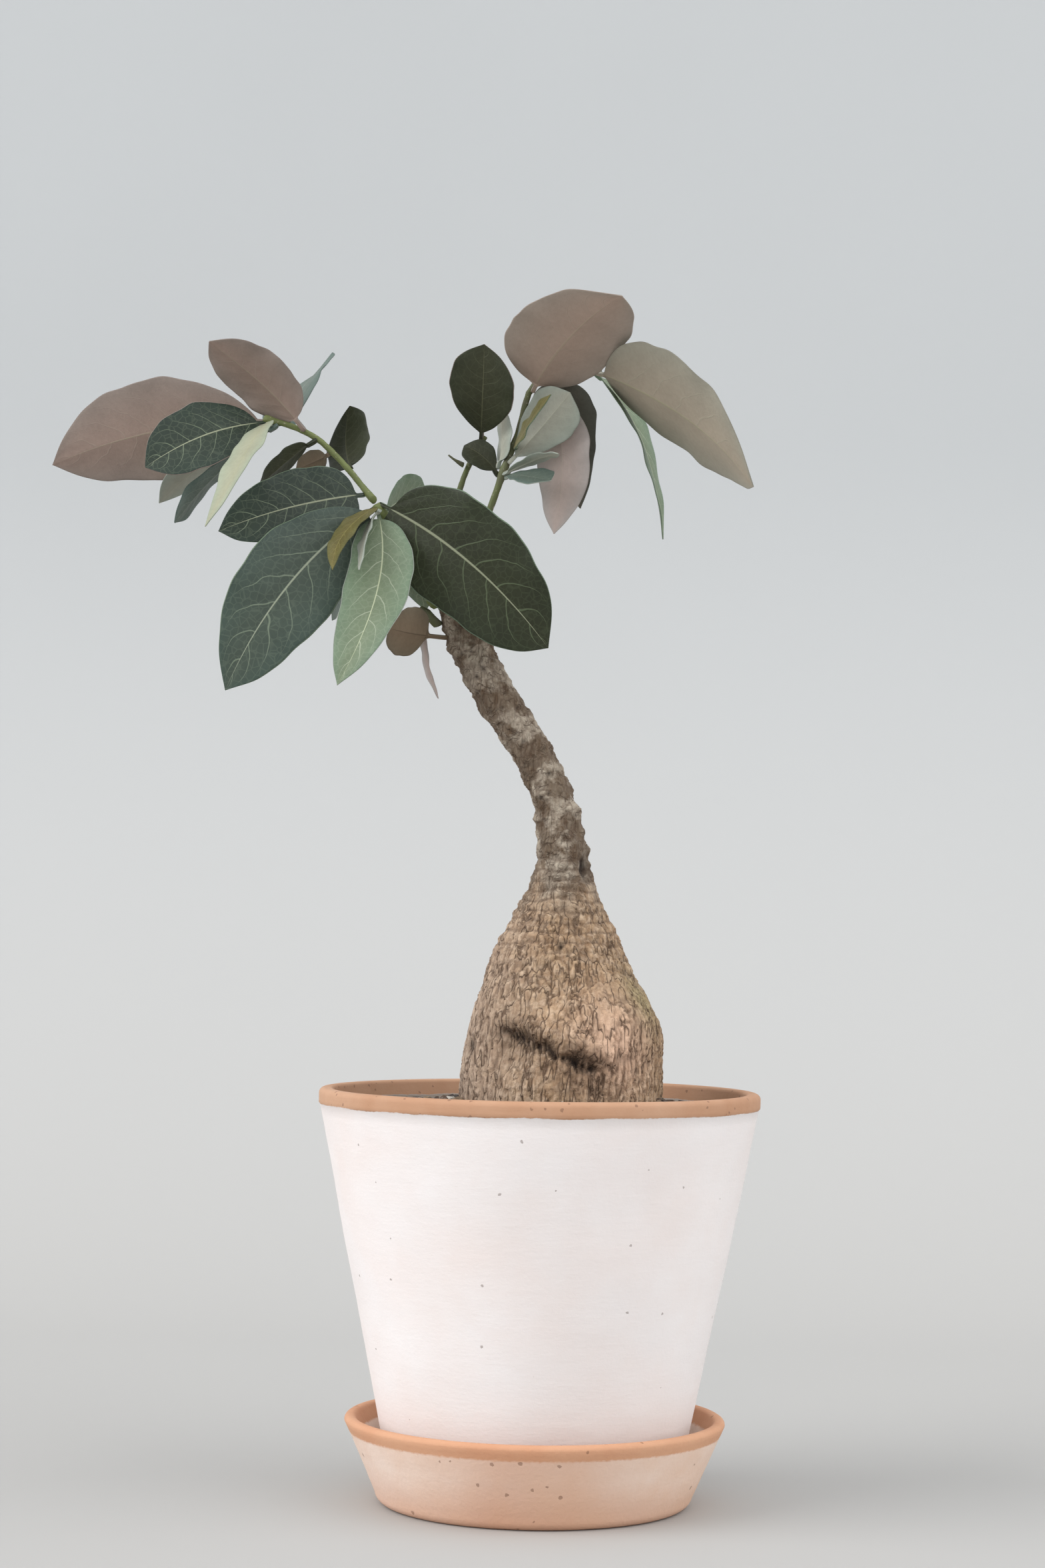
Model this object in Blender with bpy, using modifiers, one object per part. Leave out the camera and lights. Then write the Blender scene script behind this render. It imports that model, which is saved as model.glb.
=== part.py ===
"""A caudex-forming phyllanthus in a tapered clay pot that stands in its saucer.

Metres, +Z up. The origin is the centre of the saucer's underside. The plant's own routes are
written in millimetres from the middle of the soil's surface, so the plant follows the pot.
"""

from collections import namedtuple
from math import cos, pi, radians, sin

import bmesh
import bpy
import numpy as np

MM = 0.001
GAP = 0.0003  # left between pieces that touch

# Pot: a tapered clay pot with a bare lip and one drain hole
POT_TOP_DIAMETER = 0.150
POT_BASE_DIAMETER = 0.098
POT_HEIGHT = 0.132
POT_WALL = 0.0045
POT_FLOOR = 0.007
LIP_HEIGHT = 0.0052
LIP_PROUD = 0.0005
LIP_ROUND = 0.0018
FOOT_ROUND = 0.002
DRAIN_DIAMETER = 0.018

# Saucer: follows the pot's foot
SAUCER_CLEARANCE = 0.0015
SAUCER_WALL = 0.0042
SAUCER_FLOOR = 0.0065
SAUCER_HEIGHT = 0.0292
SAUCER_FLARE = 0.0123
SAUCER_EDGE_ROUND = 0.0045
SAUCER_FLOOR_CHAMFER = 0.001
SAUCER_RIM_ROUND = 0.0016

# What lies in the pot
MESH_DIAMETER = 0.030
MESH_THICKNESS = 0.0012
MESH_HOLE = 0.003
MESH_PITCH = 0.006
GRAVEL_DEPTH = 0.016
SOIL_BELOW_LIP = 0.0078
SOIL_CROWN = 0.0012
SOIL_SHOULDER = 0.7  # where the crown starts to fall, as a share of the radius

# Caudex and stem
CAUDEX_DIAMETER = 0.0692
STEM_DIAMETER = 0.0143
BARK_LOBES = 0.035  # share of the radius
TRUNK_END_BULGE = 0.45  # height of each end's point, as a share of the radius there

# Twigs and leaves
TWIG_DIAMETER = 0.0024
TWIG_STAND = 0.35  # how far its foot stands off the trunk, as a share of its width
TWIG_FOOT_OUT = 0.002
TWIG_FOOT_UP = 0.0025
LEAF_THICKNESS = 0.0005
STALK_WIDTH = 0.0012
TIP_WIDTH = 0.0006
LEAF_VEE = 0.12  # rise of each half, as a share of its width

ROUND_STEPS = 48
TRUNK_SIDES = 20
LEAF_ROWS = 9
LEAF_COLUMNS = 4

POT_SEAT_Z = SAUCER_FLOOR + GAP
LIP_Z = POT_SEAT_Z + POT_HEIGHT
SOIL_Z = LIP_Z - SOIL_BELOW_LIP

Ring = namedtuple("Ring", "height x y size part")
CAUDEX, STEM = "caudex", "stem"

# Heights and offsets in mm from the soil's surface; size is a share of that part's own diameter.
TRUNK = (
    Ring(-42, 4.5, 0, 0.22, CAUDEX),
    Ring(-36, 5.0, 0, 0.52, CAUDEX),
    Ring(-26, 5.5, 0, 0.80, CAUDEX),
    Ring(-13, 6.0, 0, 0.95, CAUDEX),
    Ring(-3, 6.5, 0, 0.99, CAUDEX),
    Ring(6, 6.7, 0, 1.00, CAUDEX),
    Ring(14, 7.0, 0, 1.00, CAUDEX),
    Ring(22, 7.7, 0, 0.99, CAUDEX),
    Ring(29, 8.5, 0, 0.965, CAUDEX),
    Ring(35, 7.9, 0, 0.915, CAUDEX),
    Ring(42, 6.9, 0, 0.82, CAUDEX),
    Ring(49, 6.0, 0, 0.72, CAUDEX),
    Ring(56, 5.6, 0, 0.63, CAUDEX),
    Ring(63, 5.9, 0, 0.525, CAUDEX),
    Ring(70, 6.2, 0, 0.42, CAUDEX),
    Ring(77, 6.6, 0, 1.60, STEM),
    Ring(84, 6.9, 0, 1.34, STEM),
    Ring(92, 6.3, 0, 1.15, STEM),
    Ring(100, 4.9, 0, 1.05, STEM),
    Ring(108, 2.6, 0, 1.01, STEM),
    Ring(116, -1.0, 0, 0.99, STEM),
    Ring(125, -6.0, 0, 0.98, STEM),
    Ring(134, -12.0, 0.5, 0.99, STEM),
    Ring(142, -17.5, 1, 1.00, STEM),
    Ring(150, -22.3, 1.5, 1.00, STEM),
    Ring(159, -26.5, 2, 0.99, STEM),
    Ring(168, -30.0, 2.5, 0.95, STEM),
    Ring(174, -32.2, 3, 0.80, STEM),
    Ring(177.5, -33.4, 3, 0.50, STEM),
)

Twig = namedtuple("Twig", "name seat route start end")

# seat is where the twig leaves the trunk, as (height in mm, angle in degrees, 0 at +X and 90 at
# +Y), or None where it grows on from another twig. Start and end are shares of TWIG_DIAMETER.
TWIGS = (
    Twig("twig_centre", (175, 200), [(-44, -1, 188), (-52, -5, 197), (-58.5, -7.5, 205.5)], 1.5, 1.2),
    Twig(
        "twig_left",
        None,
        [(-60.3, -6, 208.2), (-64, -2, 212.5), (-68, 0, 217.5), (-75, 2, 225), (-81, 2, 230),
         (-89, 2, 233.5), (-98, 0.5, 236)],
        0.95,
        0.72,
    ),
    Twig(
        "twig_rear",
        (175, 70),
        [(-32.5, 9, 192), (-33, 10, 203), (-30.5, 10, 215.5), (-26.5, 9, 225), (-22.5, 8.5, 232)],
        1.1,
        0.75,
    ),
    Twig(
        "twig_right",
        (175, -10),
        [(-24, 3.5, 195), (-20, 4, 207), (-15.5, 4, 220.5), (-11, 3, 233), (-7, 0, 247),
         (1, -2, 252.5), (9, -3.5, 254), (17, -4, 254)],
        1.15,
        0.75,
    ),
    Twig("twig_spike", None, [(-30.6, 7.2, 222.5), (-33, 6.5, 223.6), (-35, 6, 225)], 0.5, 0.25),
    Twig("pruned_spur", (169, 190), [(-41.3, 1.5, 170), (-43.8, 1, 171.2)], 1.25, 1.1),
)
TRUNK_SEAT = "caudex_and_stem"

Leaf = namedtuple(
    "Leaf", "name on at length width heading rise roll arch sweep foot tip stalk", defaults=(2.5,)
)

LEAVES = (
    Leaf("leaf_left_tip_1", "twig_left", 1.0, 88, 37, 154, -7, -58, 0.04, -0.04, 0.67, 0.7),
    Leaf("leaf_left_tip_2", "twig_left", 0.756, 44, 23, -153, 37, -36, 0.05, -0.01, 0.45, 0.55, 4),
    Leaf("leaf_left_tip_3", "twig_left", 0.999, 46, 25, -156, -24, 62, 0.05, 0.04, 0.5, 0.5),
    Leaf("leaf_left_tip_4", "twig_left", 0.981, 64, 15, -109, -41, -21, 0.07, -0.11, 0.53, 0.87),
    Leaf("leaf_left_tip_5", "twig_left", 0.936, 49, 13, -163, -46, -33, 0.06, 0.04, 0.97, 0.24),
    Leaf("leaf_left_tip_6", "twig_left", 0.964, 49, 17, 161, -32, -17, 0.05, 0, 0.65, 0.54),
    Leaf("leaf_left_tip_7", "twig_left", 0.84, 44, 33, 82, 33, 39, 0.05, 0, 0.5, 0.35),
    Leaf("leaf_left_middle_1", "twig_left", 0.36, 34, 18, 96, 48, -140, 0.06, 0.1, 0.48, 0.52),
    Leaf("leaf_left_middle_2", "twig_left", 0.66, 28, 10, -143, -40, -57, 0.1, 0.06, 0.57, 0.76),
    Leaf("leaf_left_middle_3", "twig_left", 0.5, 18, 9, 135, -12, -74, 0.06, 0, 0.6, 0.5),
    Leaf("leaf_crown_1", "twig_left", 0.08, 52, 25, -163, -17, 79, 0.05, 0.02, 0.32, 0.56),
    Leaf("leaf_crown_2", "twig_centre", 1.0, 81, 34, -161, -52, 81, 0.05, 0.07, 0.63, 0.72),
    Leaf("leaf_crown_3", "twig_centre", 0.938, 72, 23, -106, -58, 5, 0.05, -0.1, 0.42, 0.6),
    Leaf("leaf_crown_4", "twig_centre", 0.989, 76, 38, -9, -40, -98, 0.04, -0.07, 0.3, 0.45, 4),
    Leaf("leaf_crown_5", "twig_centre", 0.93, 32, 17, 65, 19, 70, 0.05, 0, 0.55, 0.5),
    Leaf("leaf_crown_6", "twig_centre", 1.0, 47, 9, -107, -33, -7, 0.05, 0.06, 0.3, 0.7, 1.5),
    Leaf("leaf_crown_7", "twig_centre", 0.972, 41, 6, -97, -36, -52, 0.03, 0, 0.6, 0.8, 1.5),
    Leaf("leaf_crown_8", "twig_centre", 0.9, 46, 21, 123, -45, 80, 0.06, 0, 0.6, 0.7),
    Leaf("leaf_crown_9", "twig_centre", 0.8, 35, 15, 58, -48, 8, 0.06, 0, 0.6, 0.6),
    Leaf("leaf_stem_1", "caudex_and_stem", (164, 205), 27, 18, -132, 2, -65, 0.08, 0.04, 0.32, 0.55, 7),
    Leaf("leaf_stem_2", "pruned_spur", 0.488, 28, 8, -34, -78, -161, 0.04, -0.08, 0.57, 0.62, 1.5),
    Leaf("leaf_rear_1", "twig_rear", 0.969, 36, 24, -87, 53, -157, 0.05, 0.03, 0.81, 0.6),
    Leaf("leaf_right_middle_1", "twig_right", 0.426, 15, 11, 176, 39, 66, 0.08, 0.04, 0.62, 0.45, 1.5),
    Leaf("leaf_right_middle_2", "twig_right", 0.446, 26, 12, 130, 82, -74, 0.06, -0.08, 0.3, 0.84, 1.5),
    Leaf("leaf_right_middle_3", "twig_right", 0.509, 40, 9, -71, 18, -71, 0.03, 0.07, 0.62, 0.69, 1.5),
    Leaf("leaf_right_middle_4", "twig_right", 0.74, 52, 21, 65, -82, -4, 0.06, 0.05, 0.56, 0.69),
    Leaf("leaf_right_middle_5", "twig_right", 0.435, 32, 6, -56, 5, 14, 0.05, -0.05, 0.6, 0.51, 1.5),
    Leaf("leaf_right_middle_6", "twig_right", 0.425, 24, 12, -49, -9, -29, 0.05, 0.04, 0.74, 0.27, 1.5),
    Leaf("leaf_right_middle_7", "twig_right", 0.468, 32, 19, -30, 44, 72, 0.05, 0, 0.8, 0.4),
    Leaf("leaf_right_middle_8", "twig_right", 0.8, 50, 24, 73, -57, -5, 0.06, -0.06, 0.38, 0.84),
    Leaf("leaf_right_tip_1", "twig_right", 0.679, 58, 39, -57, 24, 18, 0.03, 0.05, 0.42, 0.6),
    Leaf("leaf_right_tip_2", "twig_right", 0.993, 76, 51, -35, -35, 40, 0.05, 0.04, 0.55, 0.71),
    Leaf("leaf_right_tip_3", "twig_right", 0.985, 63, 20, 42, -59, -54, 0.08, -0.06, 0.56, 0.84),
)


def smooth_route(points, count):
    """Points at even steps along a smooth curve through the given ones."""
    p = np.array(points, float)
    p = np.vstack([2 * p[0] - p[1], p, 2 * p[-1] - p[-2]])
    spans = len(p) - 3
    out = []
    for u in np.linspace(0, spans, count):
        i = min(int(u), spans - 1)
        t = u - i
        a, b, c, d = p[i : i + 4]
        out.append(0.5 * (2 * b + (c - a) * t + (2 * a - 5 * b + 4 * c - d) * t**2
                          + (3 * b - a - 3 * c + d) * t**3))
    return np.array(out)


def unit(v):
    return np.asarray(v, float) / np.linalg.norm(v)


# The trunk: rings of unlike sections along a leaning line

def ring_radius(ring):
    return ring.size / 2 * (CAUDEX_DIAMETER if ring.part == CAUDEX else STEM_DIAMETER)


def trunk_stations():
    """Centre, radius and the two directions across the trunk at each ring, in metres."""
    centres = np.array([(r.x * MM, r.y * MM, SOIL_Z + r.height * MM) for r in TRUNK])
    tangents = np.gradient(centres, axis=0)
    stations = []
    for ring, centre, tangent in zip(TRUNK, centres, tangents):
        radius = ring_radius(ring)
        upright = min(max((radius / (STEM_DIAMETER / 2) - 1.1) / 1.5, 0), 1)
        axis = unit((1 - upright) * unit(tangent) + upright * np.array([0, 0, 1.0]))
        across = unit(np.cross([0, 1, 0], axis))
        stations.append((centre, radius, across, np.cross(axis, across)))
    return stations


def lobed(radius, angle, height):
    """The radius at an angle: soft lobes that turn with height and leave the side outline alone."""
    wave = 0.6 * sin(2 * angle)
    wave += sin(3 * angle) * sin(height / 9)
    wave += 0.5 * sin(5 * angle) * cos(height / 6)
    return radius * (1 + BARK_LOBES * wave)


def trunk_point(height, angle, extra=0.0):
    """A point on the trunk's skin, or that far outside it, at a height in mm above the soil."""
    stations = trunk_stations()
    heights = [r.height for r in TRUNK]
    i = min(max(int(np.searchsorted(heights, height)) - 1, 0), len(TRUNK) - 2)
    t = (height - heights[i]) / (heights[i + 1] - heights[i])
    centre, radius, across, along = [
        (1 - t) * np.asarray(a) + t * np.asarray(b) for a, b in zip(stations[i], stations[i + 1])
    ]
    a = radians(angle)
    out = cos(a) * across + sin(a) * along
    return centre + out * (lobed(radius, a, height) + extra), unit(out)


# Twigs

def twig_route(twig):
    """The twig's points in metres, from its seat to its end."""
    route = [np.array([x * MM, y * MM, SOIL_Z + z * MM]) for x, y, z in twig.route]
    if twig.seat:
        start, out = trunk_point(*twig.seat, extra=GAP + TWIG_STAND * twig.start * TWIG_DIAMETER)
        route = [start, start + out * TWIG_FOOT_OUT + np.array([0, 0, TWIG_FOOT_UP])] + route
    return smooth_route(route, 3 * len(route))


def twig_radius(twig, at):
    return (twig.start + (twig.end - twig.start) * at) * TWIG_DIAMETER / 2


def leaf_seat(leaf):
    """Where the leaf's stalk starts: just off the skin of what it grows on."""
    direction = leaf_axes(leaf)[0]
    if leaf.on == TRUNK_SEAT:
        return trunk_point(*leaf.at, extra=GAP + STALK_WIDTH / 3)[0]
    twig = next(t for t in TWIGS if t.name == leaf.on)
    route = twig_route(twig)
    place = leaf.at * (len(route) - 1)
    i = min(int(place), len(route) - 2)
    point = route[i] + (route[i + 1] - route[i]) * (place - i)
    tangent = unit(route[i + 1] - route[i])
    out = unit(direction - tangent * (direction @ tangent))
    return point + out * (twig_radius(twig, leaf.at) + GAP + STALK_WIDTH / 3)


# Leaves

def leaf_axes(leaf):
    """The leaf's own directions: along it, across it, and out of its upper side."""
    heading, rise, roll = radians(leaf.heading), radians(leaf.rise), radians(leaf.roll)
    along = np.array([cos(rise) * cos(heading), cos(rise) * sin(heading), sin(rise)])
    level = np.array([sin(heading), -cos(heading), 0.0])
    up = np.cross(level, along)
    across = cos(roll) * level + sin(roll) * up
    return along, across, np.cross(across, along)


def blade_share(leaf, t):
    """Half width as a share of the widest, from foot to tip."""
    widest = leaf.foot / (leaf.foot + leaf.tip)
    most = widest**leaf.foot * (1 - widest) ** leaf.tip
    return max(t, 0) ** leaf.foot * max(1 - t, 0) ** leaf.tip / most


def leaf_point(leaf, seat, along_share, side):
    """A point of the leaf's middle surface; side runs from -1 to 1."""
    along, across, out = leaf_axes(leaf)
    stalk = leaf.stalk / leaf.length
    blade = (along_share - stalk) / (1 - stalk)
    narrowest = (STALK_WIDTH if along_share < 0.5 else TIP_WIDTH) / 2
    half = max(leaf.width * MM / 2 * blade_share(leaf, blade) if 0 < blade < 1 else 0, narrowest)
    length = leaf.length * MM
    hump = 4 * along_share * (1 - along_share)
    middle = seat + length * (along * along_share + (out * leaf.arch + across * leaf.sweep) * hump)
    return middle + half * (across * side + out * LEAF_VEE * abs(side))


def leaf_shares(leaf):
    """Where the rows of points lie along the leaf, closer together near the ends."""
    stalk = leaf.stalk / leaf.length
    blade = [0.5 * (1 - cos(pi * i / (LEAF_ROWS - 2))) for i in range(LEAF_ROWS - 1)]
    return [0.0] + [stalk + (1 - stalk) * t for t in blade]


# Objects, materials and modifiers

def clear_scene():
    for obj in list(bpy.data.objects):
        bpy.data.objects.remove(obj)


def collection(name):
    made = bpy.data.collections.new(name)
    bpy.context.scene.collection.children.link(made)
    return made


def material(name, colour, roughness=0.7, metallic=0.0):
    made = bpy.data.materials.new(name)
    made.use_nodes = True
    shader = made.node_tree.nodes["Principled BSDF"]
    shader.inputs["Base Color"].default_value = (*colour, 1)
    shader.inputs["Roughness"].default_value = roughness
    shader.inputs["Metallic"].default_value = metallic
    return made


def add_object(name, data, into, finish=None):
    obj = bpy.data.objects.new(name, data)
    into.objects.link(obj)
    if finish:
        data.materials.append(finish)
    return obj


def as_cutter(obj):
    obj.hide_render = True
    obj.display_type = "WIRE"
    return obj


def turned(name, profile, into, finish):
    """A solid turned about Z from (radius, height) points, given top to bottom on the outside.
    A profile whose ends are off the axis is closed into a ring."""
    mesh = bpy.data.meshes.new(name)
    edges = [(i, i + 1) for i in range(len(profile) - 1)]
    if profile[0][0] > 0:
        edges.append((len(profile) - 1, 0))
    mesh.from_pydata([(r, 0, z) for r, z in profile], edges, [])
    obj = add_object(name, mesh, into, finish)
    screw = obj.modifiers.new("Turn", "SCREW")
    screw.steps = screw.render_steps = ROUND_STEPS
    screw.use_merge_vertices = True
    screw.merge_threshold = 0.00001
    screw.use_normal_calculate = False
    screw.use_smooth_shade = True
    return obj


def arc(centre_r, centre_z, radius, start, end, steps=4):
    """Points of an arc in a profile, angles in degrees, 0 pointing outwards and 90 up."""
    return [
        (centre_r + radius * cos(radians(a)), centre_z + radius * sin(radians(a)))
        for a in np.linspace(start, end, steps)
    ]


def cut(obj, cutter, name):
    boolean = obj.modifiers.new(name, "BOOLEAN")
    boolean.operation = "DIFFERENCE"
    boolean.solver = "EXACT"
    boolean.object = cutter


# Pot and saucer

def pot_outer_radius(z):
    """The wall's outer radius at a height above the pot's foot."""
    share = z / (POT_HEIGHT - LIP_HEIGHT)
    top = POT_TOP_DIAMETER / 2 - LIP_PROUD
    return POT_BASE_DIAMETER / 2 + (top - POT_BASE_DIAMETER / 2) * share


def pot_inner_radius(z):
    return pot_outer_radius(min(z, POT_HEIGHT - LIP_HEIGHT)) - POT_WALL


def make_pot(into):
    top, lip = POT_TOP_DIAMETER / 2, POT_HEIGHT - LIP_HEIGHT
    base, inner_top = POT_BASE_DIAMETER / 2, pot_inner_radius(POT_HEIGHT)
    inner_round = min(LIP_ROUND, POT_WALL / 3)
    profile = arc(top - LIP_ROUND, POT_HEIGHT - LIP_ROUND, LIP_ROUND, 90, 0)
    profile += [(top, lip + LIP_PROUD), (top - LIP_PROUD, lip)]
    profile += arc(base - FOOT_ROUND, FOOT_ROUND, FOOT_ROUND, 0, -90)
    profile += [(DRAIN_DIAMETER / 2, 0), (DRAIN_DIAMETER / 2, POT_FLOOR)]
    corner = POT_FLOOR + FOOT_ROUND
    profile += arc(pot_inner_radius(corner) - FOOT_ROUND, corner, FOOT_ROUND, -90, 0)
    profile += [(inner_top, lip)]
    profile += arc(inner_top + inner_round, POT_HEIGHT - inner_round, inner_round, 180, 90, 3)
    return turned(
        "pot",
        [(r, z + POT_SEAT_Z) for r, z in profile],
        into,
        material("slip_coated_clay", (0.83, 0.77, 0.75), 0.8),
    )


def make_saucer(into):
    inner_floor = POT_BASE_DIAMETER / 2 + SAUCER_CLEARANCE
    base = inner_floor + SAUCER_WALL - SAUCER_FLARE * SAUCER_FLOOR / SAUCER_HEIGHT
    rim = base + SAUCER_FLARE
    lip = SAUCER_RIM_ROUND
    chamfer = SAUCER_FLOOR_CHAMFER
    profile = [
        (0, SAUCER_FLOOR),
        (inner_floor - chamfer, SAUCER_FLOOR),
        (inner_floor, SAUCER_FLOOR + chamfer),
    ]
    profile += arc(rim - SAUCER_WALL + lip, SAUCER_HEIGHT - lip, lip, 180, 90, 3)
    profile += arc(rim - lip, SAUCER_HEIGHT - lip, lip, 90, 0, 3)
    profile += arc(base - SAUCER_EDGE_ROUND * 0.6, SAUCER_EDGE_ROUND, SAUCER_EDGE_ROUND, -10, -90)
    profile += [(0, 0)]
    return turned("saucer", profile, into, material("bare_clay", (0.6, 0.35, 0.22), 0.85))


# What lies in the pot

def make_drain_mesh(into, cutters):
    z = POT_SEAT_Z + POT_FLOOR + GAP
    half = MESH_DIAMETER / 2
    obj = turned(
        "drain_mesh",
        [(0, z + MESH_THICKNESS), (half, z + MESH_THICKNESS), (half, z), (0, z)],
        into,
        material("black_plastic", (0.02, 0.02, 0.02), 0.5),
    )
    for row in (-1, 0, 1):
        for column in (-1, 0, 1):
            mesh = bpy.data.meshes.new("mesh_hole")
            bm = bmesh.new()
            bmesh.ops.create_cube(bm, size=1)
            bmesh.ops.scale(bm, vec=(MESH_HOLE, MESH_HOLE, 4 * MESH_THICKNESS), verts=bm.verts)
            bm.to_mesh(mesh)
            bm.free()
            hole = as_cutter(add_object(f"mesh_hole_{row + 1}{column + 1}", mesh, cutters))
            hole.location = (row * MESH_PITCH, column * MESH_PITCH, z + MESH_THICKNESS / 2)
            cut(obj, hole, hole.name)
    return obj


def make_gravel(into):
    """The drainage layer, stepped up over the mesh."""
    floor = POT_FLOOR + GAP
    top = POT_FLOOR + GRAVEL_DEPTH
    over = floor + MESH_THICKNESS + GAP
    recess = MESH_DIAMETER / 2 + GAP
    corner = POT_FLOOR + FOOT_ROUND + GAP
    profile = [
        (0, top),
        (pot_inner_radius(top) - GAP, top),
        (pot_inner_radius(corner) - GAP, corner),
        (pot_inner_radius(corner) - FOOT_ROUND - GAP, floor),
        (recess, floor),
        (recess, over),
        (0, over),
    ]
    return turned(
        "drainage_gravel",
        [(r, z + POT_SEAT_Z) for r, z in profile],
        into,
        material("pumice", (0.45, 0.38, 0.3), 0.95),
    )


def make_soil(into, cutters):
    """The gritty mix, with a socket for the caudex."""
    bottom = POT_FLOOR + GRAVEL_DEPTH + GAP
    top = POT_HEIGHT - SOIL_BELOW_LIP
    profile = [
        (0, top + SOIL_CROWN),
        (pot_inner_radius(top) * SOIL_SHOULDER, top + SOIL_CROWN),
        (pot_inner_radius(top) - GAP, top),
        (pot_inner_radius(bottom) - GAP, bottom),
        (0, bottom),
    ]
    obj = turned(
        "soil",
        [(r, z + POT_SEAT_Z) for r, z in profile],
        into,
        material("gritty_soil", (0.16, 0.12, 0.1), 0.95),
    )
    socket = as_cutter(add_object("caudex_socket", trunk_mesh("caudex_socket", GAP), cutters))
    cut(obj, socket, "Socket")
    return obj


def trunk_mesh(name, extra=0.0):
    """The trunk's skin as rings joined from the buried foot to the crown."""
    bm = bmesh.new()
    rings = []
    stations = trunk_stations()
    for ring, (centre, radius, across, along) in zip(TRUNK, stations):
        points = []
        for i in range(TRUNK_SIDES):
            a = 2 * pi * i / TRUNK_SIDES
            reach = lobed(radius, a, ring.height) + extra
            points.append(bm.verts.new(centre + reach * (cos(a) * across + sin(a) * along)))
        rings.append(points)
    for low, high in zip(rings, rings[1:]):
        for i in range(TRUNK_SIDES):
            j = (i + 1) % TRUNK_SIDES
            bm.faces.new((low[i], low[j], high[j], high[i]))
    ends = ((rings[0], stations[0], -1), (rings[-1], stations[-1], 1))
    for ring, (centre, radius, across, along), way in ends:
        apex = bm.verts.new(centre + way * np.cross(across, along) * (radius * TRUNK_END_BULGE + extra))
        for i in range(TRUNK_SIDES):
            j = (i + 1) % TRUNK_SIDES
            bm.faces.new((ring[i], ring[j], apex) if way > 0 else (ring[j], ring[i], apex))
    bmesh.ops.recalc_face_normals(bm, faces=bm.faces)
    # Split the same way on the trunk and on its socket, so that the gap stays even.
    bmesh.ops.triangulate(bm, faces=bm.faces, quad_method="FIXED")
    mesh = bpy.data.meshes.new(name)
    bm.to_mesh(mesh)
    bm.free()
    mesh.shade_smooth()
    return mesh


def make_trunk(into):
    finish = material("bark", (0.3, 0.2, 0.12), 0.9)
    return add_object(TRUNK_SEAT, trunk_mesh(TRUNK_SEAT), into, finish)


# Twigs and leaves

def make_twig(twig, into, finish):
    curve = bpy.data.curves.new(twig.name, "CURVE")
    curve.dimensions = "3D"
    curve.bevel_depth = TWIG_DIAMETER / 2
    curve.bevel_resolution = 2
    curve.use_fill_caps = True
    route = twig_route(twig)
    spline = curve.splines.new("POLY")
    spline.points.add(len(route) - 1)
    for i, (point, place) in enumerate(zip(spline.points, route)):
        point.co = (*place, 1)
        point.radius = twig_radius(twig, i / (len(route) - 1)) / (TWIG_DIAMETER / 2)
    return add_object(twig.name, curve, into, finish)


def make_leaf(leaf, into, finish):
    """A grid laid on the leaf's middle surface, given its thickness by Solidify."""
    bm = bmesh.new()
    bmesh.ops.create_grid(bm, x_segments=LEAF_ROWS - 1, y_segments=LEAF_COLUMNS, size=1)
    shares, seat = leaf_shares(leaf), leaf_seat(leaf)
    for vert in bm.verts:
        row = round((vert.co.x + 1) / 2 * (LEAF_ROWS - 1))
        vert.co = leaf_point(leaf, seat, shares[row], vert.co.y)
    mesh = bpy.data.meshes.new(leaf.name)
    bm.to_mesh(mesh)
    bm.free()
    mesh.shade_smooth()
    obj = add_object(leaf.name, mesh, into, finish)
    shell = obj.modifiers.new("Thickness", "SOLIDIFY")
    shell.thickness = LEAF_THICKNESS
    shell.offset = 0
    return obj


def main():
    clear_scene()
    into = collection("potted_phyllanthus")
    cutters = collection("cutters")
    make_saucer(into)
    make_pot(into)
    make_drain_mesh(into, cutters)
    make_gravel(into)
    make_soil(into, cutters)
    make_trunk(into)
    green_bark = material("twig_bark", (0.13, 0.14, 0.07), 0.7)
    for twig in TWIGS:
        make_twig(twig, into, green_bark)
    leaf_green = material("leaf", (0.06, 0.1, 0.06), 0.6)
    for leaf in LEAVES:
        make_leaf(leaf, into, leaf_green)
    cutters.hide_render = True


if __name__ == "__main__":
    main()
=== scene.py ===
"""The finished look of a phyllanthus in a clay pot and saucer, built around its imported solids."""

from math import cos, pi, radians, sin

import bmesh
import bpy
import numpy as np
from bpy.props import FloatProperty, FloatVectorProperty, IntProperty, PointerProperty
from mathutils import Matrix, Vector, kdtree, noise


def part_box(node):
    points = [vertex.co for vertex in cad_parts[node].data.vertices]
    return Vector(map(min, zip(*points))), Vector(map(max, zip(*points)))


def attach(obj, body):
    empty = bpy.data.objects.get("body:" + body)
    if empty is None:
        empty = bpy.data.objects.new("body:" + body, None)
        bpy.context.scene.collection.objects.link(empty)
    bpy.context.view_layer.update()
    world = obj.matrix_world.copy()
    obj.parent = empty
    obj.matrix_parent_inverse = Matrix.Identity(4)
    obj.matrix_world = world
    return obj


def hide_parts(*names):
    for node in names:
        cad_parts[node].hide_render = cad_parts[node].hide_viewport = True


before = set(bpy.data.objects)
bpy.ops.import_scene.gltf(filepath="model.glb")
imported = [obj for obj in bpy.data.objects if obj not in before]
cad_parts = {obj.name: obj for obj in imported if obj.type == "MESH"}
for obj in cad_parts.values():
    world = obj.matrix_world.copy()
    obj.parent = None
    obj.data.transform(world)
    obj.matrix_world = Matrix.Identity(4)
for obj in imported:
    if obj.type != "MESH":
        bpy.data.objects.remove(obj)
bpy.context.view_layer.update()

bl_info = {
    "name": "Potted Phyllanthus",
    "version": (1, 0, 0),
    "blender": (4, 5, 0),
    "location": "3D View > Sidebar > Phyllanthus",
    "description": "Builds a caudex-forming phyllanthus in a clay pot that stands in its saucer",
    "category": "Add Mesh",
}

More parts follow.
